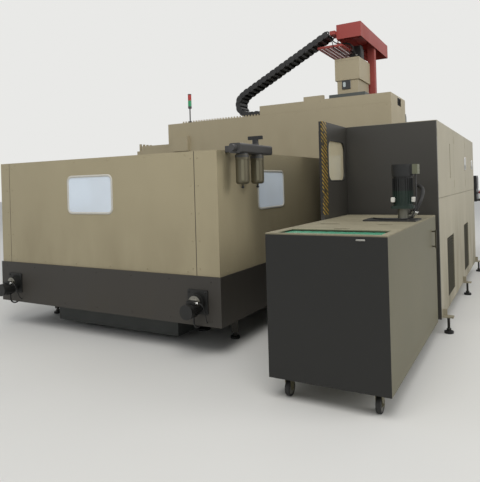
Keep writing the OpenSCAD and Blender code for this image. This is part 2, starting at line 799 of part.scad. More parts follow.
// Way covers: steel plates bent down at both sides, each section running inside the next
cover_z = bed_top + rail_h + 25;
cover_t = 3;
cover_half = rail_gap / 2 + 90;
module way_cover(level, y0, y1) {
  w = cover_half + level * cover_step;
  z = cover_z + level * cover_step;
  foot = bed_top + (level == 0 ? 0 : gap);
  along_y([[-w, foot], [-w, z - 15], [-w + 15, z], [w - 15, z], [w, z - 15], [w, foot],
    [w - cover_t, foot], [w - cover_t, z - 15 - cover_t / 2], [w - 15 - cover_t / 2, z - cover_t],
    [-w + 15 + cover_t / 2, z - cover_t], [-w + cover_t, z - 15 - cover_t / 2], [-w + cover_t, foot]],
    y0, y1);
}
module fixed_way_covers() {
  color(steel) both_y() {
    way_cover(0, cover_end - cover_len, cover_end);
    // End plate that stands on the bed
    block([-cover_half + cover_t, bed_len / 2 - 40, bed_top],
      [cover_half - cover_t, bed_len / 2 - 30, cover_z - cover_t]);
  }
}
module middle_cover() {
  mid = (table_len / 2 + cover_end) / 2;
  way_cover(1, mid - cover_len / 2, mid + cover_len / 2);
}
module near_middle_cover() {
  color(steel) mirror([0, 1, 0]) middle_cover();
}
module far_middle_cover() {
  color(steel) middle_cover();
}
module table_way_covers() {
  color(steel) both_y() {
    way_cover(2, table_len / 2, table_len / 2 + cover_len);
    // Angle that is bolted to the table's end
    block([-cover_half, table_len / 2, cover_z + 2 * cover_step - cover_t],
      [cover_half, table_len / 2 + 12, table_top - 80]);
  }
}

// Table: a casting with its carriages and the nut of its ball screw. Ten ground strips, bedded on it in
// resin, leave the T-slots between them.
slot_deep = 38;
slot_head = 16;
resin = 0.2;
slots = floor((table_w / 2 - 60) / slot_pitch);
carriage_l = 260;
module table() {
  color(iron) {
    block([-table_w / 2, -table_len / 2, table_top - table_t],
      [table_w / 2, table_len / 2, table_top - slot_deep - resin]);
    translate([0, table_len / 2, table_top]) rotate([90, 0, 0]) linear_extrude(table_len) difference() {
      translate([-table_w / 2, -slot_deep]) square([table_w, slot_deep]);
      for (i = [-slots : slots]) {
        translate([i * slot_pitch - slot_w / 2, -slot_deep - e]) square([slot_w, slot_deep + 2 * e]);
        translate([i * slot_pitch - slot_w * 0.85, -slot_deep - e]) square([slot_w * 1.7, slot_head + e]);
      }
      // Gutters along both edges
      for (s = [-1, 1]) translate([s * (table_w / 2 - 30) - 12, -18]) square([24, 19]);
    }
    // Carriages on the rails
    for (s = [-1, 1]) for (y = [-1, -0.33, 0.33, 1])
      difference() {
        translate([s * rail_gap / 2 - rail_w, y * (table_len / 2 - carriage_l) - carriage_l / 2, bed_top + 8])
          cube([2 * rail_w, carriage_l, rail_h + truck_h - 7]);
        translate([s * rail_gap / 2 - rail_w / 2 - gap, y * (table_len / 2 - carriage_l) - carriage_l / 2 - e,
          bed_top]) cube([rail_w + 2 * gap, carriage_l + 2 * e, rail_h + gap]);
      }
    // Nut of the ball screw
    difference() {
      union() {
        block([-80, -110, screw_z - screw_r - 25], [80, 110, bed_top + rail_h + truck_h + e]);
        bar_y(-170, 170, 0, screw_z, screw_r + 25);
      }
      bar_y(-171, 171, 0, screw_z, screw_r + fit);
    }
  }
}

// Ball screws, with journals in their bearing walls
module table_screw() {
  color(steel) {
    bar_y(-screw_half + 40 + gap, screw_half - 40 - gap, 0, screw_z, screw_r);
    bar_y(-screw_half - 40, screw_half + 40 - gap, 0, screw_z, screw_r * 0.75);
  }
}
module saddle_screw() {
  color(steel) {
    bar_x(-beam_half + 60 + gap, beam_half - 60 - gap, cross_screw_y, cross_screw_z, cross_screw_r);
    bar_x(-beam_half + gap, beam_half, cross_screw_y, cross_screw_z, cross_screw_r * 0.75);
  }
}

// Saddle: an iron casting that hangs on the beam's far face, reaches over the beam and guides the ram
saddle_y = beam_half_y + rail_h + 12;
saddle_z0 = beam_rail_lo - 130;
house_wall = 70;
house_half = ram_w / 2 + house_wall;
ram_x = head_x + ram_shift;
saddle_x0 = ram_x - house_half - 80;
saddle_x1 = head_x + 300;
module saddle() {
  color(iron) {
    difference() {
      union() {
        // Plate on the rails, and plate over the beam
        block([saddle_x0, saddle_y, saddle_z0], [saddle_x1, saddle_y + saddle_t, saddle_z + saddle_t]);
        block([head_x - 320, head_y0 - 20, saddle_z], [saddle_x1, saddle_y + saddle_t, saddle_z + saddle_t]);
        // Housing of the ram
        block([ram_x - house_half, saddle_y + saddle_t - e, saddle_z0],
          [ram_x + house_half, ram_y + house_half, saddle_z + saddle_t]);
        // Ribs beside the housing
        for (s = [-1, 1])
          translate([ram_x + s * (house_half + 45) - 20, saddle_y + saddle_t - e, saddle_z0 + 60])
            rotate([90, 0, 90]) linear_extrude(40)
              polygon([[0, 0], [ram_w * 0.6, 160], [ram_w * 0.6, 700], [0, 860]]);
        // Nut of the ball screw
        block([head_x - 90, cross_screw_y - 40, cross_screw_z - 60],
          [head_x + 90, saddle_y + e, cross_screw_z + 60]);
      }
      translate([ram_x - ram_w / 2 - gap, ram_y - ram_w / 2 - gap, saddle_z0 - e])
        cube([ram_w + 2 * gap, ram_w + 2 * gap, ram_len]);
      bar_x(head_x - 100, head_x + 100, cross_screw_y, cross_screw_z, cross_screw_r + fit);
    }
    // Carriages on the two rails
    for (z = [beam_rail_lo, beam_rail_hi]) for (x = [saddle_x0 + 20, saddle_x1 - 240])
      difference() {
        block([x, beam_half_y + 8, z - rail_w], [x + 220, saddle_y + e, z + rail_w]);
        block([x - e, beam_half_y, z - rail_w / 2 - gap],
          [x + 220 + e, beam_half_y + rail_h + gap, z + rail_w / 2 + gap]);
      }
  }
}

// Head cover: two closed boxes of folded sheet, with a small display on the lower one
module head_cover() {
  color(beige) {
    block([head_x - head_w / 2 + head_step, head_y0 + 20, saddle_z + saddle_t],
      [head_x + head_w / 2 - head_step, head_y1 - 20, head_z0 + e]);
    difference() {
      block([head_x - head_w / 2, head_y0, head_z0], [head_x + head_w / 2, head_y1, head_z1]);
      // Joint lines of the folded lid
      for (y = [head_y0 - e, head_y1 - 3])
        block([head_x - head_w, y, head_z1 - 43], [head_x + head_w, y + 3 + e, head_z1 - 40]);
    }
  }
  color(black) translate([head_x - 20 - display_w / 2, head_y0 + 8, head_z0 - 2 - display_w])
    cube([display_w, 12 + e, display_w]);
}

// Servo motor of the ram, on top of the head cover
z_servo_x = head_x + 100;
module z_servo() {
  color(black) {
    plate_z(round_rect(190, 190, 14), z_servo_x, 120, head_z1, 22);
    plate_z(round_rect(170, 170, 22), z_servo_x, 120, head_z1 + 21, 170);
    plate_z(round_rect(150, 150, 30), z_servo_x, 120, head_z1 + 190, 60);
    block([z_servo_x - 135, 90, head_z1 + 90], [z_servo_x - 84, 150, head_z1 + 140]);
    block([z_servo_x - 25, 10, head_z1 + 60], [z_servo_x + 25, 36, head_z1 + 105]);
  }
}
module plate_z(points, x, y, z, t) {
  translate([x, y, z]) linear_extrude(t) polygon(points);
}

// Carrier arm: a folded channel, open below, on a square post, with a bracket for the chain
post_x = arm_x1 - 90;
post_y = 580;
module carrier_arm() {
  color(red) {
    difference() {
      block([arm_x0, arm_y0, arm_z0], [arm_x1, arm_y1, arm_z0 + arm_h]);
      block([arm_x0 + arm_t, arm_y0 + arm_t, arm_z0 - e],
        [arm_x1 - arm_t, arm_y1 - arm_t, arm_z0 + arm_h - arm_t]);
    }
    block([post_x - post_w / 2, post_y - post_w / 2, saddle_z + saddle_t],
      [post_x + post_w / 2, post_y + post_w / 2, arm_z0 + arm_h - arm_t + e]);
    // Stiffening ribs across the channel
    for (y = [0, 1050])
      block([arm_x0 + 1, y, arm_z0 + arm_h * 0.4], [arm_x1 - 1, y + arm_t, arm_z0 + arm_h - 1]);
    // Bracket that the chain ends on
    block([chain_end[0] + end_r + gap, chain_y + 20, chain_end[1] - 30],
      [arm_x0 + e, chain_y + chain_w - 20, chain_end[1] + 30]);
  }
}

// Tray: a perforated floor with a rim, hung from the arm
hole_pitch = 75;
tray_lap = 90;
tray_y1 = arm_y0 + (arm_y1 - arm_y0) * 0.6054;
module arm_tray() {
  color(red) {
    difference() {
      block([tray_x0, arm_y0, tray_z], [arm_x0 + tray_lap, tray_y1, tray_z + tray_rim]);
      block([tray_x0 + arm_t, arm_y0 + arm_t, tray_z + arm_t],
        [arm_x0 + tray_lap - arm_t, tray_y1 - arm_t, tray_z + tray_rim + e]);
      for (x = [tray_x0 + 60 : hole_pitch : arm_x0 + 60], y = [arm_y0 + 60 : hole_pitch : tray_y1 - 50])
        bar_z(tray_z - e, tray_z + arm_t + e, x, y, 20, $fn = 24);
    }
    // Hangers up to the side of the arm
    for (y = [arm_y0 + 60, 0.4 * tray_y1, tray_y1 - 90])
      block([arm_x0 - arm_t, y, tray_z + 1], [arm_x0, y + 40, arm_z0 + 60]);
  }
}

// Ram and spindle
quill_r = nose_r + 40;
spindle_top = saddle_z0 - 20;
module ram() {
  color(steel) difference() {
    union() {
      plate_z(round_rect(ram_w, ram_w, 12), ram_x, ram_y, ram_bottom, ram_len);
      bar_z(ram_bottom - 50, ram_bottom + e, ram_x, ram_y, quill_r);
    }
    bar_z(ram_bottom - 51, spindle_top + gap, ram_x, ram_y, spindle_r + fit);
  }
}
taper_r = 35;
module spindle() {
  color(steel) difference() {
    union() {
      bar_z(ram_bottom - 60, spindle_top, ram_x, ram_y, spindle_r);
      bar_z(ram_bottom - 100, ram_bottom - 50 - gap, ram_x, ram_y, nose_r);
      // Drive keys
      for (s = [-1, 1]) translate([ram_x + s * 52 - 12, ram_y - 13, ram_bottom - 110]) cube([24, 26, 11]);
    }
    translate([ram_x, ram_y, ram_bottom - 101]) cylinder(r1 = taper_r, r2 = taper_r * 0.6, h = 102);
  }
}

// Cable chain. Its path runs along the deck, round the bend and up to the arm.
chain_z = deck_z + gap + link_h / 2;
end_r = link_h / 2 - 16;
run_lower = chain_x0 - bend_x;
turn = 180 - run_angle;
run_bend = bend_r * turn * PI / 180;
bend_end = [bend_x + bend_r * cos(90 + run_angle), chain_z + bend_r + bend_r * sin(90 + run_angle)];
run_upper = (arm_x0 - end_r - 6 - bend_end[0]) / cos(run_angle);
chain_links = floor((run_lower + run_bend + run_upper) / link_pitch);
function chain_at(s) = s < run_lower ? [chain_x0 - s, chain_z, 180]
  : s < run_lower + run_bend
    ? let (a = (s - run_lower) / bend_r * 180 / PI)
      [bend_x - bend_r * sin(a), chain_z + bend_r - bend_r * cos(a), 180 - a]
  : let (t = s - run_lower - run_bend)
    [bend_end[0] + t * cos(run_angle), bend_end[1] + t * sin(run_angle), run_angle];
chain_end = chain_at(chain_links * link_pitch);
side_t = 8;
pin_r = 12;
module link_side(y, hole) {
  difference() {
    translate([0, y + side_t, 0]) rotate([90, 0, 0]) linear_extrude(side_t)
      polygon(concat([[link_pitch * 0.72, -link_h / 2]], arc(link_pitch, 0, end_r, -70, 70, 5),
        [[link_pitch * 0.72, link_h / 2], [link_pitch * 0.28, link_h / 2]], arc(0, 0, end_r, 110, 250, 5),
        [[link_pitch * 0.28, -link_h / 2]]));
    if (hole) for (x = [0, link_pitch]) bar_y(y - e, y + side_t + e, x, 0, pin_r + gap, $fn = 16);
  }
}
module cable_chain() {
  color(black) for (i = [0 : chain_links - 1]) {
    a = chain_at(i * link_pitch);
    b = chain_at((i + 1) * link_pitch);
    tilt = atan2(b[1] - a[1], b[0] - a[0]);
    inner = i % 2 == 1;
    inset = inner ? side_t + gap : 0;
    translate([a[0], chain_y + inset, a[1]]) rotate([0, -tilt, 0]) {
      link_side(0, inner);
      link_side(chain_w - 2 * inset - side_t, inner);
      // Pins on every other link, that the links between turn on
      if (!inner) for (x = [0, link_pitch]) {
        bar_y(side_t - e, 2 * side_t + 2, x, 0, pin_r, $fn = 16);
        bar_y(chain_w - 2 * side_t - 2, chain_w - side_t + e, x, 0, pin_r, $fn = 16);
      }
      for (z = [-link_h / 2, link_h / 2 - 12])
        block([link_pitch * 0.3, 1, z], [link_pitch * 0.7, chain_w - 2 * inset - 1, z + 12]);
    }
  }
}

// Air filter: a manifold on a bracket, with two bowls and a change-over knob
knob_y = filter_y + filter_len * 0.62;
module filter_manifold() {
  color(black) {
    plate_y(round_rect(120, filter_h, 20), filter_x, filter_y, filter_z + filter_h / 2, filter_len);
    for (t = [0.2, 0.66])
      bar_z(filter_z - 12, filter_z + e, filter_x, filter_y + filter_len * t, bowl_r * 0.9);
    // End fittings
    bar_y(filter_y - 60, filter_y + e, filter_x, filter_z + filter_h / 2, 30);
    bar_y(filter_y + filter_len - e, filter_y + filter_len + 40, filter_x, filter_z + filter_h / 2, 26);
    // Base of the knob
    bar_z(filter_z + filter_h - e, filter_z + filter_h + 14, filter_x, knob_y, 34);
  }
  color(dark) for (t = [0.12, 0.84])
    block([guard_half, filter_y + filter_len * t, filter_z + 15],
      [filter_x - 59, filter_y + filter_len * t + 50, filter_z + filter_h - 15]);
}
module filter_bowls() {
  color([0.62, 0.62, 0.60]) for (t = [0.2, 0.66])
    translate([filter_x, filter_y + filter_len * t, filter_z - 12 - bowl_len]) rotate_extrude()
      polygon(concat([[0, -14], [9, -14], [9, 0]], arc(bowl_r - 25, 25, 25, 270, 360, 5),
      [[bowl_r, bowl_len - 46], [bowl_r + 3, bowl_len - 44], [bowl_r + 3, bowl_len], [0, bowl_len]]));
}
module filter_knob() {
  color(black) translate([filter_x, knob_y, filter_z + filter_h + 14 + gap]) {
    cylinder(r = 30, h = 40);
    translate([-75, -14, 40 - e]) cube([150, 28, 34]);
  }
}

// Stack light: base, pole and two lenses
stack_y = -cover_y + 33;
module stack_light() {
  color(dark) {
    bar_z(deck_z, deck_z + 25, stack_x, stack_y, 30);
    bar_z(deck_z + 24, deck_z + 280, stack_x, stack_y, 12);
    bar_z(deck_z + 270, deck_z + 310, stack_x, stack_y, lens_r);
    bar_z(deck_z + 309 + 2 * lens_h, deck_z + 325 + 2 * lens_h, stack_x, stack_y, lens_r);
  }
  color("green") bar_z(deck_z + 309, deck_z + 310 + lens_h, stack_x, stack_y, lens_r - 2);
  color("red") bar_z(deck_z + 311 + lens_h, deck_z + 310 + 2 * lens_h, stack_x, stack_y, lens_r - 2);
  color(dark) bar_z(deck_z + 309, deck_z + 312 + 2 * lens_h, stack_x, stack_y, lens_r - 10);
}

// Hydraulic cabinet at the left column, with a cluster of valves on its side
hyd_y0 = -400;
hyd_y1 = 440;
hyd_z0 = 100;
module hydraulic_cabinet() {
  color(beige) {
    difference() {
      block([-beam_half - sheet - hyd_w, hyd_y0, hyd_z0], [-beam_half - sheet, hyd_y1, hyd_top]);
      // Inside, open towards the beam
      block([-beam_half - 2 * sheet - hyd_w + 8, hyd_y0 + 18, hyd_z0 + sheet],
        [-beam_half - 12, hyd_y1 - 8, hyd_top - 70]);
      // Joint line under the top and louvres in the near face
      block([-beam_half - hyd_w - 10, hyd_y0 - e, hyd_top - 63], [-beam_half, hyd_y0 + 3, hyd_top - 60]);
      for (z = [400 : 50 : 900])
        block([-beam_half - hyd_w * 0.8, hyd_y0 - e, z], [-beam_half - hyd_w * 0.3, hyd_y0 + 12, z + 18]);
    }
  }
  color(dark) {
    x = -beam_half - sheet - hyd_w;
    block([x - 60, hyd_y0 + 100, hyd_top - 330], [x + e, hyd_y0 + 560, hyd_top - 60]);
    for (y = [hyd_y0 + 120 : 110 : hyd_y0 + 460]) {
      block([x - 330, y, hyd_top - 250], [x - 59, y + 80, hyd_top - 170]);
      block([x - 240, y + 5, hyd_top - 171], [x - 100, y + 75, hyd_top - 90]);
      bar_z(hyd_top - 91, hyd_top + 60, x - 170, y + 40, 26);
    }
  }
}

// Tool magazine: a guard of folded sheet on a stand, with a window, and the drum inside
mag_x1 = tank_x0 - 20 - wing_t - 5;
mag_x0 = mag_x1 - mag_w;
mag_win = [300, 400];
mag_win_z = 1680;
drum_r = 560;
drum_y = (mag_y0 + mag_y1) / 2;
drum_z = (mag_z0 + mag_z1) / 2;
drum_x = (mag_x0 + mag_x1) / 2;
hub_r = 60;
module magazine_guard() {
  color(dark) {
    difference() {
      block([mag_x0, mag_y0, mag_z0], [mag_x1, mag_y1, mag_z1]);
      block([mag_x0 + sheet, mag_y0 + sheet, mag_z0 + sheet], [mag_x1 - 16, mag_y1 - sheet, mag_z1 - sheet]);
      plate_y(round_rect(mag_win[0], mag_win[1], 40), drum_x, mag_y0 - e, mag_win_z, sheet + 2 * e);
      // Hatch for the tool
      plate_x(round_rect(400, 400, 40), mag_x0 - e, drum_y, drum_z, sheet + 2 * e);
    }
    // Shaft of the drum
    bar_x(drum_x - 112, mag_x1 - 15, drum_y, drum_z, hub_r - fit);
    bar_x(mag_x1 - 60, mag_x1 - 15, drum_y, drum_z, hub_r * 2);
    // Stay to the column
    block([mag_x0 + 150, mag_y1 - e, 1200], [mag_x0 + 250, -column_half_y, 1300]);
    // Stand
    for (y = [mag_y0 + 60, mag_y1 - 260]) difference() {
      block([mag_x0 + 40, y, foot_h], [mag_x1 - 40, y + 200, mag_z0 + e]);
      block([mag_x0 + 48, y + 8, foot_h + 8], [mag_x1 - 48, y + 192, mag_z0 - 8]);
      block([mag_x0 + 160, y - e, foot_h + 120], [mag_x1 - 160, y + 201, mag_z0 - 120]);
    }
  }
}
module tool_drum() {
  color(steel) difference() {
    union() {
      bar_x(drum_x - 20, drum_x + 20, drum_y, drum_z, drum_r - 70);
      bar_x(drum_x - 108, drum_x + 160, drum_y, drum_z, hub_r + 40);
      for (i = [0 : pots - 1])
        translate([drum_x, drum_y, drum_z]) rotate([360 * i / pots, 0, 0]) translate([-90, drum_r - 80, 0])
          rotate([0, 90, 0]) cylinder(r = 48, h = 180, $fn = 24);
    }
    bar_x(drum_x - 200, drum_x + 200, drum_y, drum_z, hub_r);
    for (i = [0 : 5])
      translate([drum_x - 30, drum_y, drum_z]) rotate([60 * i + 30, 0, 0]) translate([0, 300, 0])
        rotate([0, 90, 0]) cylinder(r = 80, h = 60);
  }
}

// End guard: a dark wall across the cabinet's near end, with a wing and a rounded window
wing_x1 = tank_x0 - 20;
wing_x0 = wing_x1 - wing_t;
wing_win = [520, 405];
wing_win_z = 1777;
wing_mid = (wing_y + cab_y0 - wing_t) / 2 + 30;
module end_guard() {
  color(dark) {
    difference() {
      block([wing_x0, wing_y, cab_z0], [wing_x1, cab_y0 - wing_t + e, wing_top]);
      plate_x(round_rect(wing_win[0], wing_win[1], 90), wing_x0 - e, wing_mid, wing_win_z, wing_t + 2 * e);
      block([wing_x0 - e, wing_y + 30, cab_z0 + 30],
        [wing_x1 - 4, cab_y0 - wing_t - 30, wing_win_z - wing_win[1] / 2 - 40]);
    }
    difference() {
      block([wing_x0, cab_y0 - wing_t, cab_z0], [cab_x1, cab_y0, wing_top]);
      for (i = [0, 1]) block([wing_x0 + 40 + i * 480, cab_y0 - wing_t + 4, cab_z0 + 40],
        [wing_x0 + 480 + i * 440, cab_y0 + e, wing_top - 40]);
    }
  }
}

// Electrical cabinet: carcass with lower panels, three upper doors, vents and drive modules
cab_wall = 3;
cab_doors = 3;
door_pitch = (cab_y1 - cab_y0) / cab_doors;
frame_w = 45;
vent_ys = [cab_y0 + 540, cab_y0 + 2280];
vent_len = 600;
vent_z0 = cab_z0 + 110;
vent_z1 = vent_z0 + 640;
duct_y = 200;
bracket_l = 100;
cab_feet = [cab_y0 + 90, (cab_y0 + cab_y1) / 2, cab_y1 - 90];
module cabinet() {
  color(pale) {
    difference() {
      block([cab_x0, cab_y0, cab_z0], [cab_x1 - door_t - gap, cab_y1, cab_z1]);
      // Upper bay, and its door openings
      block([cab_x0 + cab_wall, cab_y0 + cab_wall, cab_seam + cab_wall],
        [cab_x1 - door_t - frame_w, cab_y1 - cab_wall, cab_z1 - cab_wall]);
      for (i = [0 : cab_doors - 1])
        block([cab_x1 - 200, cab_y0 + i * door_pitch + frame_w, cab_seam + frame_w],
          [cab_x1, cab_y0 + (i + 1) * door_pitch - frame_w, cab_z1 - frame_w]);
      // Lower bay, with its vents
      block([cab_x0 + cab_wall, cab_y0 + cab_wall, cab_z0 + cab_wall],
        [cab_x1 - door_t - 8, cab_y1 - cab_wall, cab_seam - cab_wall]);
      for (y = vent_ys) block([cab_x1 - 200, y, vent_z0], [cab_x1, y + vent_len, vent_z1]);
    }
    // Lower panels with a gap at each seam, and frames of the vents
    for (i = [0 : cab_doors - 1]) difference() {
      block([cab_x1 - door_t - gap - e, cab_y0 + i * door_pitch + 2, cab_z0],
        [cab_x1, cab_y0 + (i + 1) * door_pitch - 2, cab_seam - 2]);
      for (y = vent_ys) block([cab_x1 - 200, y, vent_z0], [cab_x1 + e, y + vent_len, vent_z1]);
    }
    // Cable duct to the column
    block([beam_half, duct_y, cab_z1 - 480], [cab_x0 + e, duct_y + 220, cab_z1 - 310]);
    // Brackets of the outboard feet
    for (y = cab_feet) {
      block([cab_x1 - e, y - 40, cab_z0], [cab_x1 + bracket_l, y + 40, cab_z0 + 14]);
      block([cab_x1 - e, y - 7, cab_z0], [cab_x1 + bracket_l * 0.4, y + 7, cab_z0 + 80]);
    }
    // Brackets above and below the pendant arm's post
    for (z = [post_z0 - gap - 20, post_z1 + gap])
      block([arm_pivot[0] - 40, cab_y1 - e, z], [arm_pivot[0] + 40, arm_pivot[1] + 35, z + 20]);
  }
}
module cabinet_vents() {
  color([0.25, 0.26, 0.2]) for (y = vent_ys) {
    block([cab_x1 - door_t - 12, y, vent_z0], [cab_x1 - door_t, y + vent_len, vent_z1]);
    for (z = [vent_z0 : 32 : vent_z1 - 20])
      block([cab_x1 - door_t - e, y, z], [cab_x1 - 4, y + vent_len, z + 10]);
  }
}
drive_pitch = door_pitch / 9;
drive_h = (cab_z1 - cab_seam) / 2;
module drive_modules() {
  color(dark) {
    for (i = [0 : cab_doors - 1]) {
      y0 = cab_y0 + i * door_pitch + frame_w;
      block([cab_x0 + cab_wall, y0 + 40, cab_seam + frame_w],
        [cab_x0 + cab_wall + 6, y0 + door_pitch - 2 * frame_w - 40, cab_z1 - frame_w]);
      for (j = [0 : 6])
        translate([cab_x0 + cab_wall + 5, y0 + (j + 0.7) * drive_pitch, cab_z1 - frame_w - 40 - drive_h])
          cube([cab_deep * 0.3, drive_pitch * 0.8, drive_h]);
    }
  }
}

// A cabinet door: a folded pan with a recessed pull handle, hinged on pins at its near edge
handle_z = [400, 200, 170];
handle_off = [0.72, 0.925, 0.715];
knuckle_r = 3.5;
knuckle_h = 90;
module cab_door(i) {
  y0 = cab_y0 + i * door_pitch + 4;
  y1 = cab_y0 + (i + 1) * door_pitch - 4;
  hz = handle_z[i];
  hy = cab_y0 + i * door_pitch + door_pitch * handle_off[i];
  difference() {
    block([cab_x1 - door_t, y0, cab_seam + 2], [cab_x1, y1, cab_z1]);
    translate([cab_x1 - 14, hy - 25, (cab_seam + cab_z1) / 2 + 5 - hz / 2]) cube([15, 50, hz]);
  }
  translate([cab_x1 - 14 - e, hy - 14, (cab_seam + cab_z1) / 2 + 15 - hz / 2]) cube([14, 12, hz - 20]);
  // Knuckles of the hinges, on the door's near corner
  for (z = [cab_seam + 80, cab_z1 - 80 - knuckle_h]) bar_z(z, z + knuckle_h, cab_x1, y0, knuckle_r);
}
module door_near() {
  color(pale) cab_door(0);
}
module door_middle() {
  color(pale) cab_door(1);
}
module door_far() {
  color(pale) cab_door(2);
}

// Operator's sliding door on the far right side, with a handle
door_end = door_start + door_len;
door_win_y = door_start + door_len * 0.42;
module operator_door() {
  color(beige) difference() {
    union() {
      block([guard_half + gap + 5, door_start, door_z0], [guard_half + 25, door_end, door_z1 - gap]);
      block([guard_half + 24, door_end - 90, win_z - 160], [guard_half + 60, door_end - 60, win_z + 160]);
    }
    block([guard_half + 25, door_end - 91, win_z - 130], [guard_half + 45, door_end - 59, win_z + 130]);
    window_cut_x(guard_half - 200, door_win_y, 0);
  }
  color([0.7, 0.8, 0.85])
    plate_x(round_rect(win_w, win_h, win_r), guard_half + 12, door_win_y, win_z, pane_t);
}

// Operator pendant on a swinging arm at the cabinet's far end
arm_pivot = [cab_x1 - 120, cab_y1 + 60];
pend_y = cab_y1 + 470;
post_z0 = 1640;
post_z1 = 1900;
button_y = pend_y + 150;
button_z = 1300;
module pendant_arm() {
  color(dark) {
    bar_z(post_z0, post_z1, arm_pivot[0], arm_pivot[1], 30);
    block([arm_pivot[0] - 25, arm_pivot[1], 1840], [arm_pivot[0] + 25, pend_y, 1890]);
    bar_z(1600, 1889, arm_pivot[0], pend_y, 28);
  }
}
module pendant() {
  color(black) difference() {
    pendant_body(arm_pivot[0]);
    bar_x(arm_pivot[0] + 110, arm_pivot[0] + 145, button_y, button_z, 14 + gap);
  }
}
module pendant_body(x) {
  block([x - 60, pend_y - 210, 1150], [x + 140, pend_y + 210, 1600 - gap]);
  translate([x + 139, pend_y - 170, 1370]) cube([8, 340, 200]);
  block([x + 139, pend_y - 200, 1160], [x + 200, pend_y + 200, 1190]);
  for (i = [0 : 3]) bar_x(x + 139, x + 152, pend_y - 150 + 70 * i, button_z, 18);
}
module stop_button() {
  color("red") {
    bar_x(arm_pivot[0] + 120, arm_pivot[0] + 160, button_y, button_z, 14);
    bar_x(arm_pivot[0] + 159, arm_pivot[0] + 175, button_y, button_z, 26);
  }
}

// Coolant tank: a sheet box with a ledge for the lids, on two fixed and two swivel casters
sump_y = tank_y0 + 350;
module coolant_tank() {
  color(pale) {
    difference() {
      block([tank_x0, tank_y0, tank_z0], [tank_x1, tank_y1, tank_z1 - 6]);
      block([tank_x0 + tank_t, tank_y0 + tank_t, tank_z0 + tank_t],
        [tank_x1 - tank_t, tank_y1 - tank_t, tank_z1]);
    }
    // Baffles, which carry the lids
    for (y = [sump_y, tank_y0 + 490, tank_y0 + 1100])
      block([tank_x0 + 1, y, tank_z0 + 200], [tank_x1 - 1, y + tank_t, tank_z1 - 6]);
    // Grip on the right side and latch on the near face
    for (z = [925, 1065]) block([tank_x1 - e, tank_y1 - 240, z], [tank_x1 + 40, tank_y1 - 225, z + 12]);
    block([tank_x1 + 28, tank_y1 - 240, 915], [tank_x1 + 40, tank_y1 - 225, 1085]);
    // Fixed forks at the near end
    for (x = caster_x) fork(x, tank_y0 + 120);
  }
}
caster_x = [tank_x0 + 110, tank_x1 - 110];
caster_y1 = tank_y1 - 120;
caster_drop = 35;
wheel_w = 36;
// A fork with its plate; the wheel runs on the pin between its cheeks
module fork(x, y) {
  block([x - 50, y - 50, tank_z0 - 8], [x + 50, y + 50, tank_z0]);
  fork_legs(x, y, 0, tank_z0 - 7);
}
module fork_legs(x, y, shift, top) {
  for (s = [-1, 1]) translate([x + s * (wheel_w / 2 + 4) - 2.5, y, 0]) rotate([90, 0, 90]) linear_extrude(5)
    polygon([[-40, top], [40, top], [shift + 18, wheel_r - 10], [shift + 6, wheel_r - 16],
      [shift - 6, wheel_r - 16], [shift - 18, wheel_r - 10]]);
  block([x - wheel_w / 2 - 6.5, y - 40, top - 5], [x + wheel_w / 2 + 6.5, y + 40, top]);
  bar_x(x - wheel_w / 2 - 12, x + wheel_w / 2 + 12, y + shift, wheel_r, 8);
}
module swivel(x) {
  color(steel) {
    bar_z(tank_z0 - 14, tank_z0 - gap, x, caster_y1, 40);
    fork_legs(x, caster_y1, -caster_drop, tank_z0 - 13);
  }
}
module swivel_left() {
  swivel(caster_x[0]);
}
module swivel_right() {
  swivel(caster_x[1]);
}
module wheel(x, y) {
  color(black) translate([x - wheel_w / 2, y, wheel_r]) rotate([0, 90, 0]) rotate_extrude()
    polygon([[8 + fit, 0], [24, 0], [24, 6], [wheel_r - 18, 6], [wheel_r - 14, 0], [wheel_r - 4, 0],
      [wheel_r, 5], [wheel_r, wheel_w - 5], [wheel_r - 4, wheel_w], [wheel_r - 14, wheel_w],
      [wheel_r - 18, wheel_w - 6], [24, wheel_w - 6], [24, wheel_w], [8 + fit, wheel_w]]);
}
module wheel_front_left() {
  wheel(caster_x[0], tank_y0 + 120);
}
module wheel_front_right() {
  wheel(caster_x[1], tank_y0 + 120);
}
module wheel_rear_left() {
  wheel(caster_x[0], caster_y1 - caster_drop);
}
module wheel_rear_right() {
  wheel(caster_x[1], caster_y1 - caster_drop);
}

// Lids of the tank, with finger slots
lid_seam = tank_y0 + 490;
module finger_slot(x, y, l) {
  translate([x, y, tank_z1 - 7]) linear_extrude(10) polygon(round_rect(l, 40, 18));
}
module tank_lids() {
  color(pale) {
    difference() {
      block([tank_x0, sump_y, tank_z1 - 6], [tank_x1, lid_seam - 2, tank_z1]);
      finger_slot((tank_x0 + tank_x1) / 2, lid_seam - 70, 130);
    }
    difference() {
      block([tank_x0, lid_seam + 2, tank_z1 - 6], [tank_x1, pump_y - 180, tank_z1]);
      finger_slot(tank_x0 + 200, lid_seam + 340, 180);
      finger_slot(tank_x1 - 215, lid_seam + 340, 130);
    }
    // Rim round the open sump
    difference() {
      block([tank_x0, tank_y0, tank_z1 - 6], [tank_x1, sump_y - 2, tank_z1]);
      block([tank_x0 + 70, tank_y0 + 40, tank_z1 - 7], [tank_x1 - 50, sump_y - 12, tank_z1 + e]);
    }
    // Fixed plate that carries the pump
    difference() {
      block([tank_x0, pump_y - 176, tank_z1 - 6], [tank_x1, tank_y1, tank_z1]);
      bar_z(tank_z1 - 7, tank_z1 + e, pump_x, pump_y, 95);
    }
  }
}

// Coolant pump: a column in the tank, a green body, a motor and its fan cowl
pump_x = tank_x1 - 150;
pump_y = tank_y1 - 750;
pump_r = 88;
plate_w = 450;
motor_z0 = tank_z1 + 130;
motor_z1 = motor_z0 + 260;
cowl_z1 = motor_z1 + 100;
outlet_l = 72;
outlet_z = tank_z1 + 45;
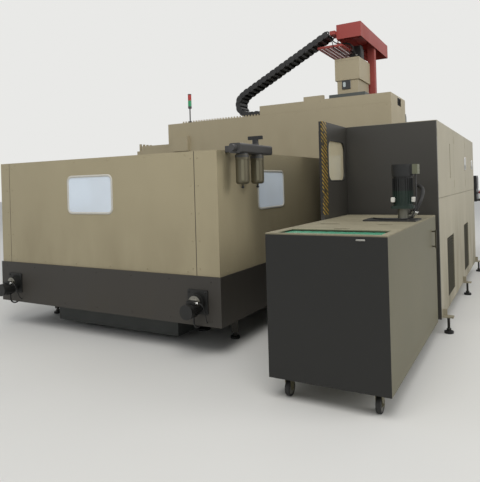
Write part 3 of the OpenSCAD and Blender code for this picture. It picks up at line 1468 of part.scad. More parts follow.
// Lean and length of the outlet's elbow
elbow_a = 32;
elbow_l = 42;
module coolant_pump() {
  color(dark) {
    block([tank_x1 - 30 - plate_w, pump_y - 110, tank_z1], [tank_x1 - 30, pump_y + 170, tank_z1 + 12]);
    bar_z(tank_z0 + 100, tank_z1 + e, pump_x, pump_y, 75);
    bar_z(tank_z1 + 11, tank_z1 + 110, pump_x, pump_y, 48);
    plate_z(round_rect(2 * pump_r, 2 * pump_r, 20), pump_x, pump_y, tank_z1 + 109, 22);
    bar_z(motor_z0, motor_z1, pump_x, pump_y, pump_r - 8);
    for (a = [0 : 15 : 345])
      translate([pump_x, pump_y, motor_z0 + 20]) rotate([0, 0, a]) translate([0, -2, 0])
        cube([pump_r, 4, motor_z1 - motor_z0 - 40]);
    bar_z(motor_z1 - 5, cowl_z1, pump_x, pump_y, pump_r + 3);
    block([pump_x + pump_r * 0.7, pump_y - 50, motor_z1 + 15],
      [pump_x + pump_r + 47, pump_y + 50, cowl_z1 - 2]);
  }
  color(steel) {
    bar_x(pump_x, pump_x + outlet_l, pump_y, outlet_z, 22);
    // Elbow with its nut
    translate([pump_x + outlet_l, pump_y, outlet_z]) {
      sphere(r = 22);
      rotate([0, elbow_a, 0]) cylinder(r = 22, h = elbow_l - 2);
      rotate([0, elbow_a, 0]) translate([0, 0, elbow_l - 22]) cylinder(r = 30, h = 22);
    }
  }
}

// Hose from the pump's outlet to the end guard
hose_r = 16.5;
elbow_dir = [sin(elbow_a), 0, cos(elbow_a)];
hose_start = [pump_x + outlet_l, pump_y, outlet_z] + elbow_l * elbow_dir;
hose_end = [pump_x - 10, cab_y0 - wing_t, tank_z1 + 290];
function bezier(a, b, c, d, t) =
  a * pow(1 - t, 3) + b * 3 * t * pow(1 - t, 2) + c * 3 * t * t * (1 - t) + d * pow(t, 3);
hose_route = [for (i = [0 : 18])
  bezier(hose_start, hose_start + 310 * elbow_dir, hose_end - [0, 300, 0], hose_end, i / 18)];
function unit(v) = v / norm(v);
function hose_dir(i) = unit(hose_route[min(i + 1, len(hose_route) - 1)] - hose_route[max(i - 1, 0)]);
function hose_ring(i, n) =
  let (d = i == 0 ? elbow_dir : i == len(hose_route) - 1 ? [0, 1, 0] : hose_dir(i),
    u = unit(cross(d, [0, 0, 1])), w = cross(u, d))
  [for (k = [0 : n - 1]) hose_route[i] + hose_r * (cos(360 * k / n) * u + sin(360 * k / n) * w)];
module pump_hose() {
  n = 12;
  m = len(hose_route);
  color(black) polyhedron(
    points = [for (i = [0 : m - 1]) each hose_ring(i, n)],
    faces = concat([[for (k = [0 : n - 1]) k]],
      [for (i = [0 : m - 2]) for (k = [0 : n - 1])
        [i * n + k, (i + 1) * n + k, (i + 1) * n + (k + 1) % n, i * n + (k + 1) % n]],
      [[for (k = [n - 1 : -1 : 0]) (m - 1) * n + k]]));
}

bed();
levelling_feet();
columns();
cross_beam();
linear_rails();
axis_servos();
beam_cover();
guard_frame();
end_panels();
side_panels();
skirts();
window_rims();
window_panes();
chip_troughs();
auger_drives();
auger_left();
auger_right();
fixed_way_covers();
table();
table_way_covers();
near_middle_cover();
far_middle_cover();
table_screw();
saddle();
saddle_screw();
head_cover();
z_servo();
carrier_arm();
arm_tray();
ram();
spindle();
cable_chain();
filter_manifold();
filter_bowls();
filter_knob();
stack_light();
hydraulic_cabinet();
magazine_guard();
tool_drum();
end_guard();
cabinet();
cabinet_vents();
drive_modules();
door_near();
door_middle();
door_far();
operator_door();
pendant_arm();
pendant();
stop_button();
coolant_tank();
tank_lids();
coolant_pump();
pump_hose();
swivel_left();
swivel_right();
wheel_front_left();
wheel_front_right();
wheel_rear_left();
wheel_rear_right();
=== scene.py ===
"""A double-column machining center, seen from the tank's end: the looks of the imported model."""
import math

import bmesh
import bpy
import numpy as np
from mathutils import Matrix, Vector


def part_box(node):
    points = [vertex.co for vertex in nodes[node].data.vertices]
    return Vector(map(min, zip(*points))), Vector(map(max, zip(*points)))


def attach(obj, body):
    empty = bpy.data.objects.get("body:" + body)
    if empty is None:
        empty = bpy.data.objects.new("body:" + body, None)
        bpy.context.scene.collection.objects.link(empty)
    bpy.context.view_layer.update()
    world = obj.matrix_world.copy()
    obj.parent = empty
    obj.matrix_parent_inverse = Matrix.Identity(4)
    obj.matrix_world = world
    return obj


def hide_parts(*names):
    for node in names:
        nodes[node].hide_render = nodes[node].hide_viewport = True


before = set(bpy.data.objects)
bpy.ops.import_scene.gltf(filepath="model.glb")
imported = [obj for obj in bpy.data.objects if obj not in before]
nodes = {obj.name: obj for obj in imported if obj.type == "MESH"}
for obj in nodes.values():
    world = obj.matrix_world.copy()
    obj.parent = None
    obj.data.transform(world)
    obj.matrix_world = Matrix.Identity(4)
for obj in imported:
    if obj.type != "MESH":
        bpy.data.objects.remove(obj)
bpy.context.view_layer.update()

# The viewpoint. Eye height, level lens, a little roll: the horizon climbs to the right and lies
# above the middle of the picture, so the lens is shifted and never tilted.
picture_width, focal_length, horizon_shift = 480.0, 508.0, 57.0
sensor_width = 36.0
turned_left, roll = math.radians(29.3), math.radians(1.62)
eye = Vector((3.920, -8.620, 1.570))
plumb = Vector((0, 0, 1))
heading = Vector((-math.sin(turned_left), math.cos(turned_left), 0.0))
level_right = heading.cross(plumb)
right = level_right * math.cos(roll) - plumb * math.sin(roll)
up = right.cross(heading)
lens = bpy.data.cameras.new("viewpoint")
lens.sensor_fit = "HORIZONTAL"
lens.sensor_width = sensor_width
lens.lens = focal_length / picture_width * sensor_width
lens.shift_y = -horizon_shift / picture_width
lens.clip_end = 200.0
camera = bpy.data.objects.new("viewpoint", lens)
bpy.context.scene.collection.objects.link(camera)
camera.matrix_world = Matrix.Translation(eye) @ Matrix((right, up, -heading)).transposed().to_4x4()
bpy.context.scene.camera = camera
bpy.context.scene.view_settings.view_transform = "Standard"


# The room: a plain pale floor under soft light from above, one side a little stronger, so that
# each fold of the sheet metal has a light and a shaded face. The floor and the sky are near white.
def linear(code):
    """sRGB hex to linear colour: a channel c up to 0.04045 becomes c / 12.92, a larger one
    ((c + 0.055) / 1.055) ^ 2.4."""
    c = np.array([int(code[i:i + 2], 16) for i in (0, 2, 4)]) / 255.0
    return tuple(np.where(c <= 0.04045, c / 12.92, ((c + 0.055) / 1.055) ** 2.4)) + (1.0,)


def put(tree, kind, inputs=None, **settings):
    """Adds one node: settings are its properties, inputs are values or the sockets that feed it."""
    node = tree.nodes.new("ShaderNode" + kind)
    for key, value in settings.items():
        setattr(node, key, value)
    for key, value in (inputs or {}).items():
        if isinstance(value, bpy.types.NodeSocket):
            tree.links.new(value, node.inputs[key])
        else:
            node.inputs[key].default_value = value
    return node


def material(name):
    """An empty material and its tree, with the output node waiting for a surface."""
    made = bpy.data.materials.new(name)
    made.use_nodes = True
    made.node_tree.nodes.clear()
    return made, made.node_tree, made.node_tree.nodes.new("ShaderNodeOutputMaterial")


def lead_out(tree, out, shader):
    """Leads the finished shader to the material's output."""
    tree.links.new(shader.outputs[0], out.inputs["Surface"])


def surface(name, grid, wrap_u=False, wrap_v=False, caps=False):
    """A mesh over one grid of points, or over many like grids. Rows run along u, columns along v;
    each quad joins (u, v), (u+1, v), (u+1, v+1), (u, v+1), and a wrap joins the last back to the
    first. Caps close the first and the last row. Edges of more than 38 degrees stay sharp."""
    grid = np.asarray(grid, float)
    grid = grid[None] if grid.ndim == 3 else grid
    count, m, n = grid.shape[:3]
    u = np.arange(m if wrap_u else m - 1)[:, None]
    v = np.arange(n if wrap_v else n - 1)[None, :]
    a = u * n + v
    b = (u + 1) % m * n + v
    c = (u + 1) % m * n + (v + 1) % n
    d = u * n + (v + 1) % n
    quads = np.stack([a, b, c, d], -1).reshape(-1, 4)
    first_point = (np.arange(count) * m * n)[:, None, None]
    faces = (quads[None] + first_point).reshape(-1, 4).tolist()
    if caps:
        ends = np.stack([np.arange(n)[::-1], (m - 1) * n + np.arange(n)])
        faces += (ends[None] + first_point).reshape(-1, n).tolist()
    mesh = bpy.data.meshes.new(name)
    mesh.from_pydata(grid.reshape(-1, 3).tolist(), [], faces)
    shape = bmesh.new()
    shape.from_mesh(mesh)
    bmesh.ops.remove_doubles(shape, verts=shape.verts, dist=1e-6)
    bmesh.ops.dissolve_degenerate(shape, edges=shape.edges, dist=1e-7)
    bmesh.ops.recalc_face_normals(shape, faces=shape.faces)
    shape.to_mesh(mesh)
    shape.free()
    mesh.polygons.foreach_set("use_smooth", np.full(len(mesh.polygons), True))
    mesh.set_sharp_from_angle(angle=math.radians(38))
    piece = bpy.data.objects.new(name, mesh)
    bpy.context.scene.collection.objects.link(piece)
    return piece


def facing_up(piece):
    """Turns an open sheet over where its first face looks down."""
    if piece.data.polygons[0].normal.z < 0:
        piece.data.flip_normals()


screed, tree, out = material("sealed pale screed")
where = put(tree, "TexCoord").outputs["Object"]
cloud = put(tree, "TexNoise", {"Vector": where, "Scale": 0.5, "Detail": 3.0})
tone = put(tree, "MixRGB", {
    "Fac": cloud.outputs["Fac"], "Color1": linear("D9D8D4"), "Color2": linear("E2E1DD")})
shader = put(tree, "BsdfPrincipled", {"Base Color": tone.outputs["Color"], "Roughness": 0.7})
lead_out(tree, out, shader)
reach = np.linspace(-60.0, 60.0, 13)
level = np.zeros((13, 13))
floor = surface("floor", np.stack(np.meshgrid(reach, reach, indexing="ij") + [level], -1))
facing_up(floor)
floor.data.materials.append(screed)

world = bpy.data.worlds.new("room")
bpy.context.scene.world = world
world.use_nodes = True
sky = world.node_tree
sky.nodes.clear()
seen = put(sky, "LightPath")
direct = put(sky, "Math", {
    0: seen.outputs["Is Camera Ray"], 1: seen.outputs["Is Transmission Ray"]}, operation="MAXIMUM")
shown = put(sky, "Math", {0: direct.outputs[0], 1: seen.outputs["Is Glossy Ray"]},
            operation="MAXIMUM")
lit = put(sky, "Background", {"Color": linear("EDF0F4"), "Strength": 0.56})
plain = put(sky, "Background", {"Color": linear("E9E9E7"), "Strength": 1.0})
joined = put(sky, "MixShader", {0: shown.outputs[0], 1: lit.outputs[0], 2: plain.outputs[0]})
sky_out = sky.nodes.new("ShaderNodeOutputWorld")
sky.links.new(joined.outputs[0], sky_out.inputs["Surface"])
for name, place, aim, size, power in (
    ("near lamp", (3.5, -9.0, 9.0), (0.5, -1.0, 1.0), 7.0, 490.0),
    ("right lamp", (13.0, -2.0, 6.0), (0.0, -1.0, 1.2), 6.0, 400.0),
    ("far lamp", (-6.0, 8.0, 8.5), (0.0, 0.5, 1.2), 7.0, 320.0),
):
    lamp = bpy.data.lights.new(name, "AREA")
    lamp.shape = "DISK"
    lamp.size = size
    lamp.energy = power
    lamp.color = (1.0, 0.985, 0.96)
    holder = bpy.data.objects.new(name, lamp)
    bpy.context.scene.collection.objects.link(holder)
    holder.location = place
    holder.rotation_euler = (Vector(aim) - Vector(place)).to_track_quat("-Z", "Y").to_euler()


# The coolant hose: black reinforced rubber, 33 mm thick, fixed at both ends. It leaves the pump's
# elbow to the right, 58 degrees up, bends over and runs into the dark wall at the cabinet's end.
def plain_finish(name, colour, second, scale, rough, metal=0.0, bump=0.0, grain=400.0,
                 stretch=(1, 1, 1), coat=0.0):
    """One surface: two near colours over a noise, roughness that follows it by 0.08 either way,
    and a fine grain as bump, both stretched along the way that the metal was ground or rolled."""
    made, tree, out = material(name)
    where = put(tree, "TexCoord").outputs["Object"]
    drawn = put(tree, "Mapping", {"Vector": where, "Scale": stretch}).outputs["Vector"]
    mottle = put(tree, "TexNoise", {"Vector": drawn, "Scale": scale, "Detail": 4.0}).outputs["Fac"]
    tone = put(tree, "MixRGB", {"Fac": mottle, "Color1": linear(colour), "Color2": linear(second)})
    worn = put(tree, "MapRange", {
        "Value": mottle, "To Min": max(rough - 0.08, 0.03), "To Max": rough + 0.08})
    shader = put(tree, "BsdfPrincipled", {
        "Base Color": tone.outputs["Color"], "Roughness": worn.outputs["Result"],
        "Metallic": metal, "Coat Weight": coat})
    if bump:
        fine = put(tree, "TexNoise", {"Vector": drawn, "Scale": grain, "Detail": 2.0})
        relief = put(tree, "Bump", {
            "Height": fine.outputs["Fac"], "Strength": bump, "Distance": 0.001})
        tree.links.new(relief.outputs["Normal"], shader.inputs["Normal"])
    lead_out(tree, out, shader)
    return made


def bezier(a, b, c, d, count):
    """A cubic curve: a(1-t)^3 + 3bt(1-t)^2 + 3ct^2(1-t) + dt^3, for t from 0 to 1."""
    t = np.linspace(0.0, 1.0, count)[:, None]
    a, b, c, d = (np.array(p, float) for p in (a, b, c, d))
    return a * (1 - t) ** 3 + 3 * b * t * (1 - t) ** 2 + 3 * c * t ** 2 * (1 - t) + d * t ** 3


def tube(name, points, radius, sides, finish, body="base"):
    """A round tube: at each point of the path, radius * (cos a * across + sin a * over), where
    across is the path's direction crossed with a steady vector and over is square to both."""
    points = np.asarray(points, float)
    along = np.gradient(points, axis=0)
    along /= np.linalg.norm(along, axis=1)[:, None]
    upright = np.abs(along[:, 2]).max() >= 0.93
    steady = np.array([0.31, 0.95, 0.03]) if upright else np.array([0.0, 0.0, 1.0])
    across = np.cross(along, steady)
    across /= np.linalg.norm(across, axis=1)[:, None]
    over = np.cross(across, along)
    a = np.linspace(0, 2 * np.pi, sides, endpoint=False)
    ring = np.cos(a)[None, :, None] * across[:, None] + np.sin(a)[None, :, None] * over[:, None]
    piece = surface(name, points[:, None] + radius * ring, wrap_v=True, caps=True)
    return dress(piece, finish, body)


def dress(piece, finish, body="base"):
    """Gives a piece its finish and its body."""
    piece.data.materials.clear()
    piece.data.materials.append(finish)
    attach(piece, body)
    return piece


hose_rubber = plain_finish("black nitrile rubber, wiped with oil", "0C0C0C", "171615", 30.0, 0.6,
                           bump=0.15, grain=220.0)
hose_thick = 0.033
hose_start = (3.084257, -4.07, 1.290618)
hose_path = bezier(hose_start, (3.248532, -4.07, 1.553513), (2.98, -3.54, 1.50),
                   (2.98, -3.24, 1.50), 30)
hose = tube("coolant_hose", hose_path, hose_thick / 2, 16, hose_rubber)
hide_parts("pump_hose")


# The sheet-metal guards round the table: beige panels over a dark skirt. Steel sheet, folded at the
# edges and powder coated, with coolant dust in soft patches and dirt that gathers at the bottom.
def powder_coat(name, colour, second, dirt, low, high, amount, rough=0.5):
    """Powder coat. The colour drifts slowly between two near tones; dirt comes in soft patches,
    three times as tall as wide, that fade as the height goes from low to high; the grain is a fine
    orange peel of 4 mm, drawn coarser than the real 1 mm so that it shows."""
    made, tree, out = material(name)
    where = put(tree, "TexCoord").outputs["Object"]
    drift = put(tree, "TexNoise", {"Vector": where, "Scale": 1.3, "Detail": 3.0})
    base = put(tree, "MixRGB", {
        "Fac": drift.outputs["Fac"], "Color1": linear(colour), "Color2": linear(second)})
    tall = put(tree, "Mapping", {"Vector": where, "Scale": (2.5, 2.5, 0.9)})
    patch = put(tree, "TexNoise", {
        "Vector": tall.outputs["Vector"], "Scale": 1.3, "Detail": 4.0, "Roughness": 0.5})
    height = put(tree, "SeparateXYZ", {0: where}).outputs["Z"]
    fading = put(tree, "MapRange", {
        "Value": height, "From Min": low, "From Max": high, "To Min": 1.0, "To Max": 0.12})
    spots = put(tree, "MapRange", {
        "Value": patch.outputs["Fac"], "From Min": 0.25, "From Max": 0.8})
    soil = put(tree, "Math", {0: spots.outputs["Result"], 1: fading.outputs["Result"]},
               operation="MULTIPLY").outputs[0]
    share = put(tree, "Math", {0: soil, 1: amount}, operation="MULTIPLY")
    dirty = put(tree, "MixRGB", {
        "Fac": share.outputs[0], "Color1": base.outputs["Color"], "Color2": linear(dirt)})
    dull = put(tree, "MapRange", {"Value": soil, "To Min": rough, "To Max": min(rough + 0.3, 0.95)})
    peel = put(tree, "TexNoise", {"Vector": where, "Scale": 250.0, "Detail": 1.0})
    wave = put(tree, "TexNoise", {"Vector": where, "Scale": 2.2, "Detail": 1.0})
    relief = put(tree, "Bump", {"Height": peel.outputs["Fac"], "Strength": 0.08, "Distance": 0.001})
    buckle = put(tree, "Bump", {"Height": wave.outputs["Fac"], "Strength": 0.12, "Distance": 0.02,
                                "Normal": relief.outputs["Normal"]})
    shader = put(tree, "BsdfPrincipled", {
        "Base Color": dirty.outputs["Color"], "Roughness": dull.outputs["Result"],
        "Normal": buckle.outputs["Normal"]})
    lead_out(tree, out, shader)
    return made


def finish_nodes(finish, *names):
    """Puts one finish on carried-over solids."""
    for name in names:
        nodes[name].data.materials.clear()
        nodes[name].data.materials.append(finish)


beige_coat = powder_coat("beige powder coat, dusty", "ABA083", "A19679", "6E654E", 0.72, 1.5, 0.4)
dark_coat = powder_coat("dark grey powder coat, dusty", "393631", "302D29", "4E483C", 0.25, 0.8,
                        0.35)
finish_nodes(beige_coat, "end_panels", "side_panels", "operator_door")
finish_nodes(dark_coat, "skirts", "guard_frame")


# The rims of the guard's windows: a pale rubber bead pressed round each pane, half round, 24 mm
# wide and 8 mm proud of the panel. It replaces the solids' plain frames.
def rounded_frame(width, height, radius, count=9):
    """Points round a rectangle with round corners: four arcs of a quarter turn, joined straight."""
    a = np.linspace(0, np.pi / 2, count)
    sign = np.array([(1, 1), (-1, 1), (-1, -1), (1, -1)])[:, None]
    turn = (a[None] + np.arange(4)[:, None] * np.pi / 2)[..., None]
    middle = sign * (np.array([width, height]) / 2 - radius)
    return (middle + radius * np.concatenate([np.cos(turn), np.sin(turn)], -1)).reshape(-1, 2)


def bead(centre, outward, width, height, radius, half, proud):
    """A half-round bead round a frame: each frame point moves by half * cos b towards the outside
    of the frame and proud * sin b towards the room, for b from 0 to half a turn."""
    line = rounded_frame(width, height, radius)
    wide = np.cross([0, 0, 1.0], outward)
    ahead = np.roll(line, -1, 0) - np.roll(line, 1, 0)
    side = np.stack([ahead[:, 1], -ahead[:, 0]], -1) / np.linalg.norm(ahead, axis=1)[:, None]
    b = np.linspace(0, np.pi, 9)
    flat = line[:, None] + half * np.cos(b)[None, :, None] * side[:, None]
    rise = np.maximum(proud * np.sin(b), 0.0)
    return (np.array(centre) + flat[..., :1] * wide + flat[..., 1:] * np.array([0, 0, 1.0])
            + rise[None, :, None] * np.array(outward, float))


rim_proud = 0.008
rim_low, rim_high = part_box("window_rims")
guard_half, guard_end = rim_high.x - rim_proud, rim_high.y - rim_proud
window_z = (rim_low.z + rim_high.z) / 2
window = {"width": 0.63, "height": 0.39, "radius": 0.054, "half": 0.012, "proud": rim_proud}
beads = [bead((-0.076, s * guard_end, window_z), (0, s, 0), **window) for s in (-1, 1)]
beads += [bead((s * guard_half, t * 3.63, window_z), (s, 0, 0), **window)
          for s in (-1, 1) for t in (-1, 1)]
rim_rubber = plain_finish("pale grey window rubber", "CFCDC4", "BDBAB0", 24.0, 0.5, bump=0.1)
rims = dress(surface("window_beads", beads, wrap_u=True, wrap_v=True), rim_rubber, "base")
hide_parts("window_rims")

# The panes: clear laminated sheet, held by the rims. Coolant has hazed them a bluish white, and the
# pane in the end guard by the tank, past X 2.0, a yellower one. The haze also glows faintly in its
# own colour: painted light, so that the panes look lit from behind.
pane_finish, tree, out = material("laminated pane, hazed by coolant, with painted glow")
where = put(tree, "TexCoord").outputs["Object"]
haze = put(tree, "TexNoise", {"Vector": where, "Scale": 1.2, "Detail": 2.0})
cloudy = put(tree, "MapRange", {
    "Value": haze.outputs["Fac"], "From Min": 0.3, "From Max": 0.7, "To Min": 0.6, "To Max": 0.74})
clear = put(tree, "BsdfTransparent", {"Color": linear("F2F6F6")})
aside = put(tree, "Math", {0: put(tree, "SeparateXYZ", {0: where}).outputs["X"], 1: 2.0},
            operation="GREATER_THAN")
tint = put(tree, "MixRGB", {
    "Fac": aside.outputs[0], "Color1": linear("DDE5EE"), "Color2": linear("BDB398")})
# The emission of the film is painted light: the panes glow faintly though they are no lamp.
glowing_film = put(tree, "BsdfPrincipled", {
    "Base Color": tint.outputs["Color"], "Roughness": 0.22,
    "Emission Color": tint.outputs["Color"], "Emission Strength": 0.15})
mixed = put(tree, "MixShader", {
    0: cloudy.outputs["Result"], 1: clear.outputs[0], 2: glowing_film.outputs[0]})
lead_out(tree, out, mixed)
finish_nodes(pane_finish, "window_panes")


# Button-head screws that hold the panels to the frame behind them: steel, 14 mm across, each with
# its socket, and coated with their panel. They stand in rows along the seams and the skirt.
def screw_heads(name, places, outward, finish, radius=0.007, body="base"):
    """Domes on a plane: distance from the axis radius * f and height radius * 0.6 * g, where (f, g)
    follows rim, dome and socket, turned about the outward axis in 10 steps."""
    profile = np.array([(1.0, 0.0), (1.0, 0.3), (0.82, 0.75), (0.5, 0.95), (0.42, 0.95),
                        (0.42, 0.35), (0.0, 0.35)])
    a = np.linspace(0, 2 * np.pi, 10, endpoint=False)
    axis = np.array(outward, float)
    one = np.cross(axis, [0.0, 0.0, 1.0])
    two = np.cross(axis, one)
    ring = np.cos(a)[:, None] * one + np.sin(a)[:, None] * two
    wide, rise = profile[:, 0, None, None], 0.6 * profile[:, 1, None, None]
    head = radius * (wide * ring[None] + rise * axis)
    places = np.asarray(places, float)
    return dress(surface(name, places[:, None, None] + head[None], wrap_v=True), finish, body)


panel_rows = (0.765, 1.855)
near_end = [(x, -guard_end, z) for x in np.linspace(-1.26, 1.16, 6) for z in panel_rows]
near_end += [(x, -guard_end, z) for x in (-1.40, -1.32, 1.22, 1.30)
             for z in np.linspace(0.80, 1.82, 5)]
screw_heads("near_panel_screws", near_end, (0, -1, 0), beige_coat)
screw_heads("far_panel_screws", [(x, -y, z) for x, y, z in near_end], (0, 1, 0), beige_coat)
for side, s in (("left", -1), ("right", 1)):
    screw_heads(side + "_panel_screws",
                [(s * guard_half, t * y, z) for y in (0.75, 1.9, 2.8, 3.2, 4.1, 4.6)
                 for t in (-1, 1) for z in panel_rows], (s, 0, 0), beige_coat)
skirt_low, skirt_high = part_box("skirts")
for end, y, s in (("near", skirt_low.y, -1), ("far", skirt_high.y, 1)):
    screw_heads(end + "_skirt_screws",
                [(x, y, z) for x in np.linspace(-1.42, 1.42, 7) for z in (0.33, 0.69)],
                (0, s, 0), dark_coat)

# Castings and running gear. The bed, columns, beam and saddle are iron castings in grey enamel; the
# table's top is ground, rails and ram are ground steel, and the way covers are brushed sheet. The
# enamel's greys are set darker as painted shade, for the shadow on the saddle's sill; the bed's
# copy,
# inside the guards, is darker still: oil and painted shade.
# Darker grey than the enamel on the bed: oil and painted shade.
oily_shaded_cast_iron = plain_finish("cast iron, grey enamel, oily, in painted shade", "3A3D3A", "2F3230", 5.0, 0.6,
                         bump=0.35, grain=140.0)
finish_nodes(oily_shaded_cast_iron, "bed")
# Set darker than the enamel: painted shade, for the shadow on the saddle's sill.
shaded_beam_enamel = plain_finish("cast iron, grey enamel, clean, in painted shade", "555A57", "474B49", 5.0, 0.5,
                           bump=0.3, grain=140.0)
finish_nodes(shaded_beam_enamel, "columns", "cross_beam", "saddle")
ground_iron = plain_finish("ground cast iron", "8E908D", "7A7C7A", 3.0, 0.38, metal=0.85,
                           bump=0.1, grain=60.0, stretch=(1, 9, 1))
finish_nodes(ground_iron, "table")
ground_steel = plain_finish("ground bearing steel", "B4B6B8", "9A9C9E", 6.0, 0.26, metal=1.0,
                            bump=0.06, grain=90.0, stretch=(1, 1, 6))
finish_nodes(ground_steel, "linear_rails", "ram", "spindle")
cover_steel = plain_finish("brushed stainless way covers", "A9ABAC", "989A9B", 4.0, 0.3, metal=1.0,
                           bump=0.12, grain=40.0, stretch=(14, 1, 14))
finish_nodes(cover_steel, "fixed_way_covers", "table_way_covers", "near_middle_cover",
             "far_middle_cover")

# The chip augers: bars of rolled steel wound into coils, turning in galvanised troughs that the
# chips have scuffed dull.
galvanised = plain_finish("galvanised trough, scuffed by chips", "8F9190", "75787A", 18.0, 0.45,
                          metal=0.9, bump=0.15, grain=70.0)
finish_nodes(galvanised, "chip_troughs")
auger_steel = plain_finish("auger bar, rolled steel", "6E6B66", "87847E", 12.0, 0.42, metal=0.9,
                           bump=0.2, grain=80.0)
finish_nodes(auger_steel, "auger_left", "auger_right")

# The ball screws: ground steel with the thread as bands along the shaft, 40 mm from turn to turn on
# the table's screw and 25 mm on the saddle's. A wave texture has a band every pi / (10 * scale).
# The colour goes dark and bright with the bands as well: painted shade in the grooves and painted
# highlight on the lands.
for thread, axis, lead in (("table_screw", "Y", 0.04), ("saddle_screw", "X", 0.025)):
    made, tree, out = material("ball screw thread, " + axis)
    bands = put(tree, "TexWave", {
        "Vector": put(tree, "TexCoord").outputs["Object"], "Scale": math.pi / (10 * lead),
        "Distortion": 0.0}, wave_type="BANDS", bands_direction=axis)
    relief = put(tree, "Bump", {"Height": bands.outputs["Fac"], "Strength": 0.7, "Distance": 0.004})
    # Dark and bright steel by band: painted shade and highlight of the thread.
    thread_shade_and_highlight = put(tree, "MixRGB", {
        "Fac": bands.outputs["Fac"], "Color1": linear("6C6E70"), "Color2": linear("C2C4C6")})
    shader = put(tree, "BsdfPrincipled", {
        "Base Color": thread_shade_and_highlight.outputs["Color"], "Metallic": 1.0, "Roughness": 0.24,
        "Normal": relief.outputs["Normal"]})
    lead_out(tree, out, shader)
    finish_nodes(made, thread)

# Levelling feet: black rubber pads under studs and nuts of dull zinc-plated steel, screwed into the
# feet's plates. The pad is what lies below 23 mm.
pad_top = 0.023
foot_finish, tree, out = material("levelling feet: rubber pad, zinc stud")
height = put(tree, "SeparateXYZ", {0: put(tree, "TexCoord").outputs["Object"]}).outputs["Z"]
plated = put(tree, "Math", {0: height, 1: pad_top}, operation="GREATER_THAN").outputs[0]
tone = put(tree, "MixRGB", {"Fac": plated, "Color1": linear("121212"), "Color2": linear("3E3D3A")})
gloss = put(tree, "MapRange", {"Value": plated, "To Min": 0.7, "To Max": 0.35})
shader = put(tree, "BsdfPrincipled", {
    "Base Color": tone.outputs["Color"], "Roughness": gloss.outputs["Result"], "Metallic": plated})
lead_out(tree, out, shader)
finish_nodes(foot_finish, "levelling_feet")


# The auger drives, bolted to the near end: cast gearboxes and finned motors in black enamel. A
# turned steel cap closes the hollow shaft, and a gland at the motor's side holds its cable.
def turned(name, profile, axis, at, sides, copies=((0, 0, 0),)):
    """Points (radius, level) turned about an axis: radius * (cos a * one + sin a * two) + level *
    axis. Copies are set beside the first by their offsets."""
    axis = np.array(axis, float)
    one = np.array([1.0, 0, 0]) if abs(axis[0]) < 0.9 else np.array([0, 1.0, 0])
    two = np.cross(axis, one)
    a = np.linspace(0, 2 * np.pi, sides, endpoint=False)[None, :, None]
    profile = np.array(profile, float)[:, None]
    ring = np.cos(a) * one + np.sin(a) * two
    form = profile[..., :1] * ring + profile[..., 1:] * axis + np.array(at, float)
    return surface(name, form[None] + np.array(copies, float)[:, None, None], wrap_v=True)


black_enamel = plain_finish("black machine enamel, oily", "0F1010", "1B1B19", 22.0, 0.5, bump=0.12,
                            grain=160.0)
finish_nodes(black_enamel, "auger_drives", "axis_servos", "z_servo")
drive_x, drive_z = 1.275, 0.5
both_drives = ((0, 0, 0), (-2 * drive_x, 0, 0))
cap = [(0.0665, 0.0), (0.0665, 0.004), (0.047, 0.008), (0.047, 0.014), (0.040, 0.019),
       (0.030, 0.021), (0.028, 0.016), (0.0, 0.016)]
caps = turned("gearbox_caps", cap, (0, -1, 0), (drive_x, -4.816, drive_z), 36, both_drives)
dress(caps, plain_finish("turned steel, oily", "8E8C84", "6F6D66", 14.0, 0.24, metal=1.0), "base")
chrome = plain_finish("polished steel", "D8D8D6", "BEBEBC", 14.0, 0.14, metal=1.0)
gland = [(0.0, 0.0), (0.017, 0.0), (0.017, 0.008), (0.013, 0.010), (0.013, 0.022), (0.009, 0.030),
         (0.0, 0.031)]
glands = turned("motor_glands", gland, (1, 0, 0), (drive_x + 0.040, -4.86, 0.512), 12, both_drives)
dress(glands, chrome, "base")
corners = 0.09 * np.array([(-1, 0, -1), (1, 0, -1), (-1, 0, 1), (1, 0, 1)])
bolts = np.concatenate([corners + (s * drive_x, -4.764, drive_z) for s in (-1, 1)])
screw_heads("flange_bolts", bolts, (0, -1, 0), black_enamel, 0.010)


# The drives' cables, in black sheath, fixed at both ends. A conduit leaves the foot of each motor
# and turns back under the skirt; a thinner cable leaves the gland at its side, the same way.
def fixed_cable(name, points, diameter, body="base"):
    """A cable with both ends in the machine: a smooth curve through the given points (each step of
    the path is a cubic whose slopes are half the distance between the neighbours), made a tube."""
    p = np.array(points, float)
    slope = np.gradient(p, axis=0)
    t = np.linspace(0, 1, 7)[:-1, None]
    steps = [(2 * t**3 - 3 * t**2 + 1) * p[i] + (t**3 - 2 * t**2 + t) * slope[i]
             + (3 * t**2 - 2 * t**3) * p[i + 1] + (t**3 - t**2) * slope[i + 1]
             for i in range(len(p) - 1)]
    path = np.concatenate(steps + [p[-1:]])
    piece = tube(name, path, diameter / 2, 10, cable_sheath, body)


cable_sheath = plain_finish("black cable sheath", "121212", "1E1E1D", 40.0, 0.5, bump=0.08,
                            grain=300.0)
under_skirt = [(-4.831, 0.3775), (-4.831, 0.336), (-4.8184, 0.2972), (-4.7854, 0.2732),
               (-4.7446, 0.2732), (-4.7116, 0.2972), (-4.699, 0.336)]
round_motor = [(0.060, -4.86, 0.512), (0.098, -4.859, 0.507), (0.124, -4.850, 0.468),
               (0.122, -4.826, 0.400), (0.108, -4.792, 0.345), (0.098, -4.766, 0.322),
               (0.095, -4.752, 0.318)]
for side, x in (("right", drive_x), ("left", -drive_x)):
    fixed_cable(side + "_drive_conduit", [(x, y, z) for y, z in under_skirt], 0.016)
    fixed_cable(side + "_drive_cable", [(x + dx, y, z) for dx, y, z in round_motor], 0.010)

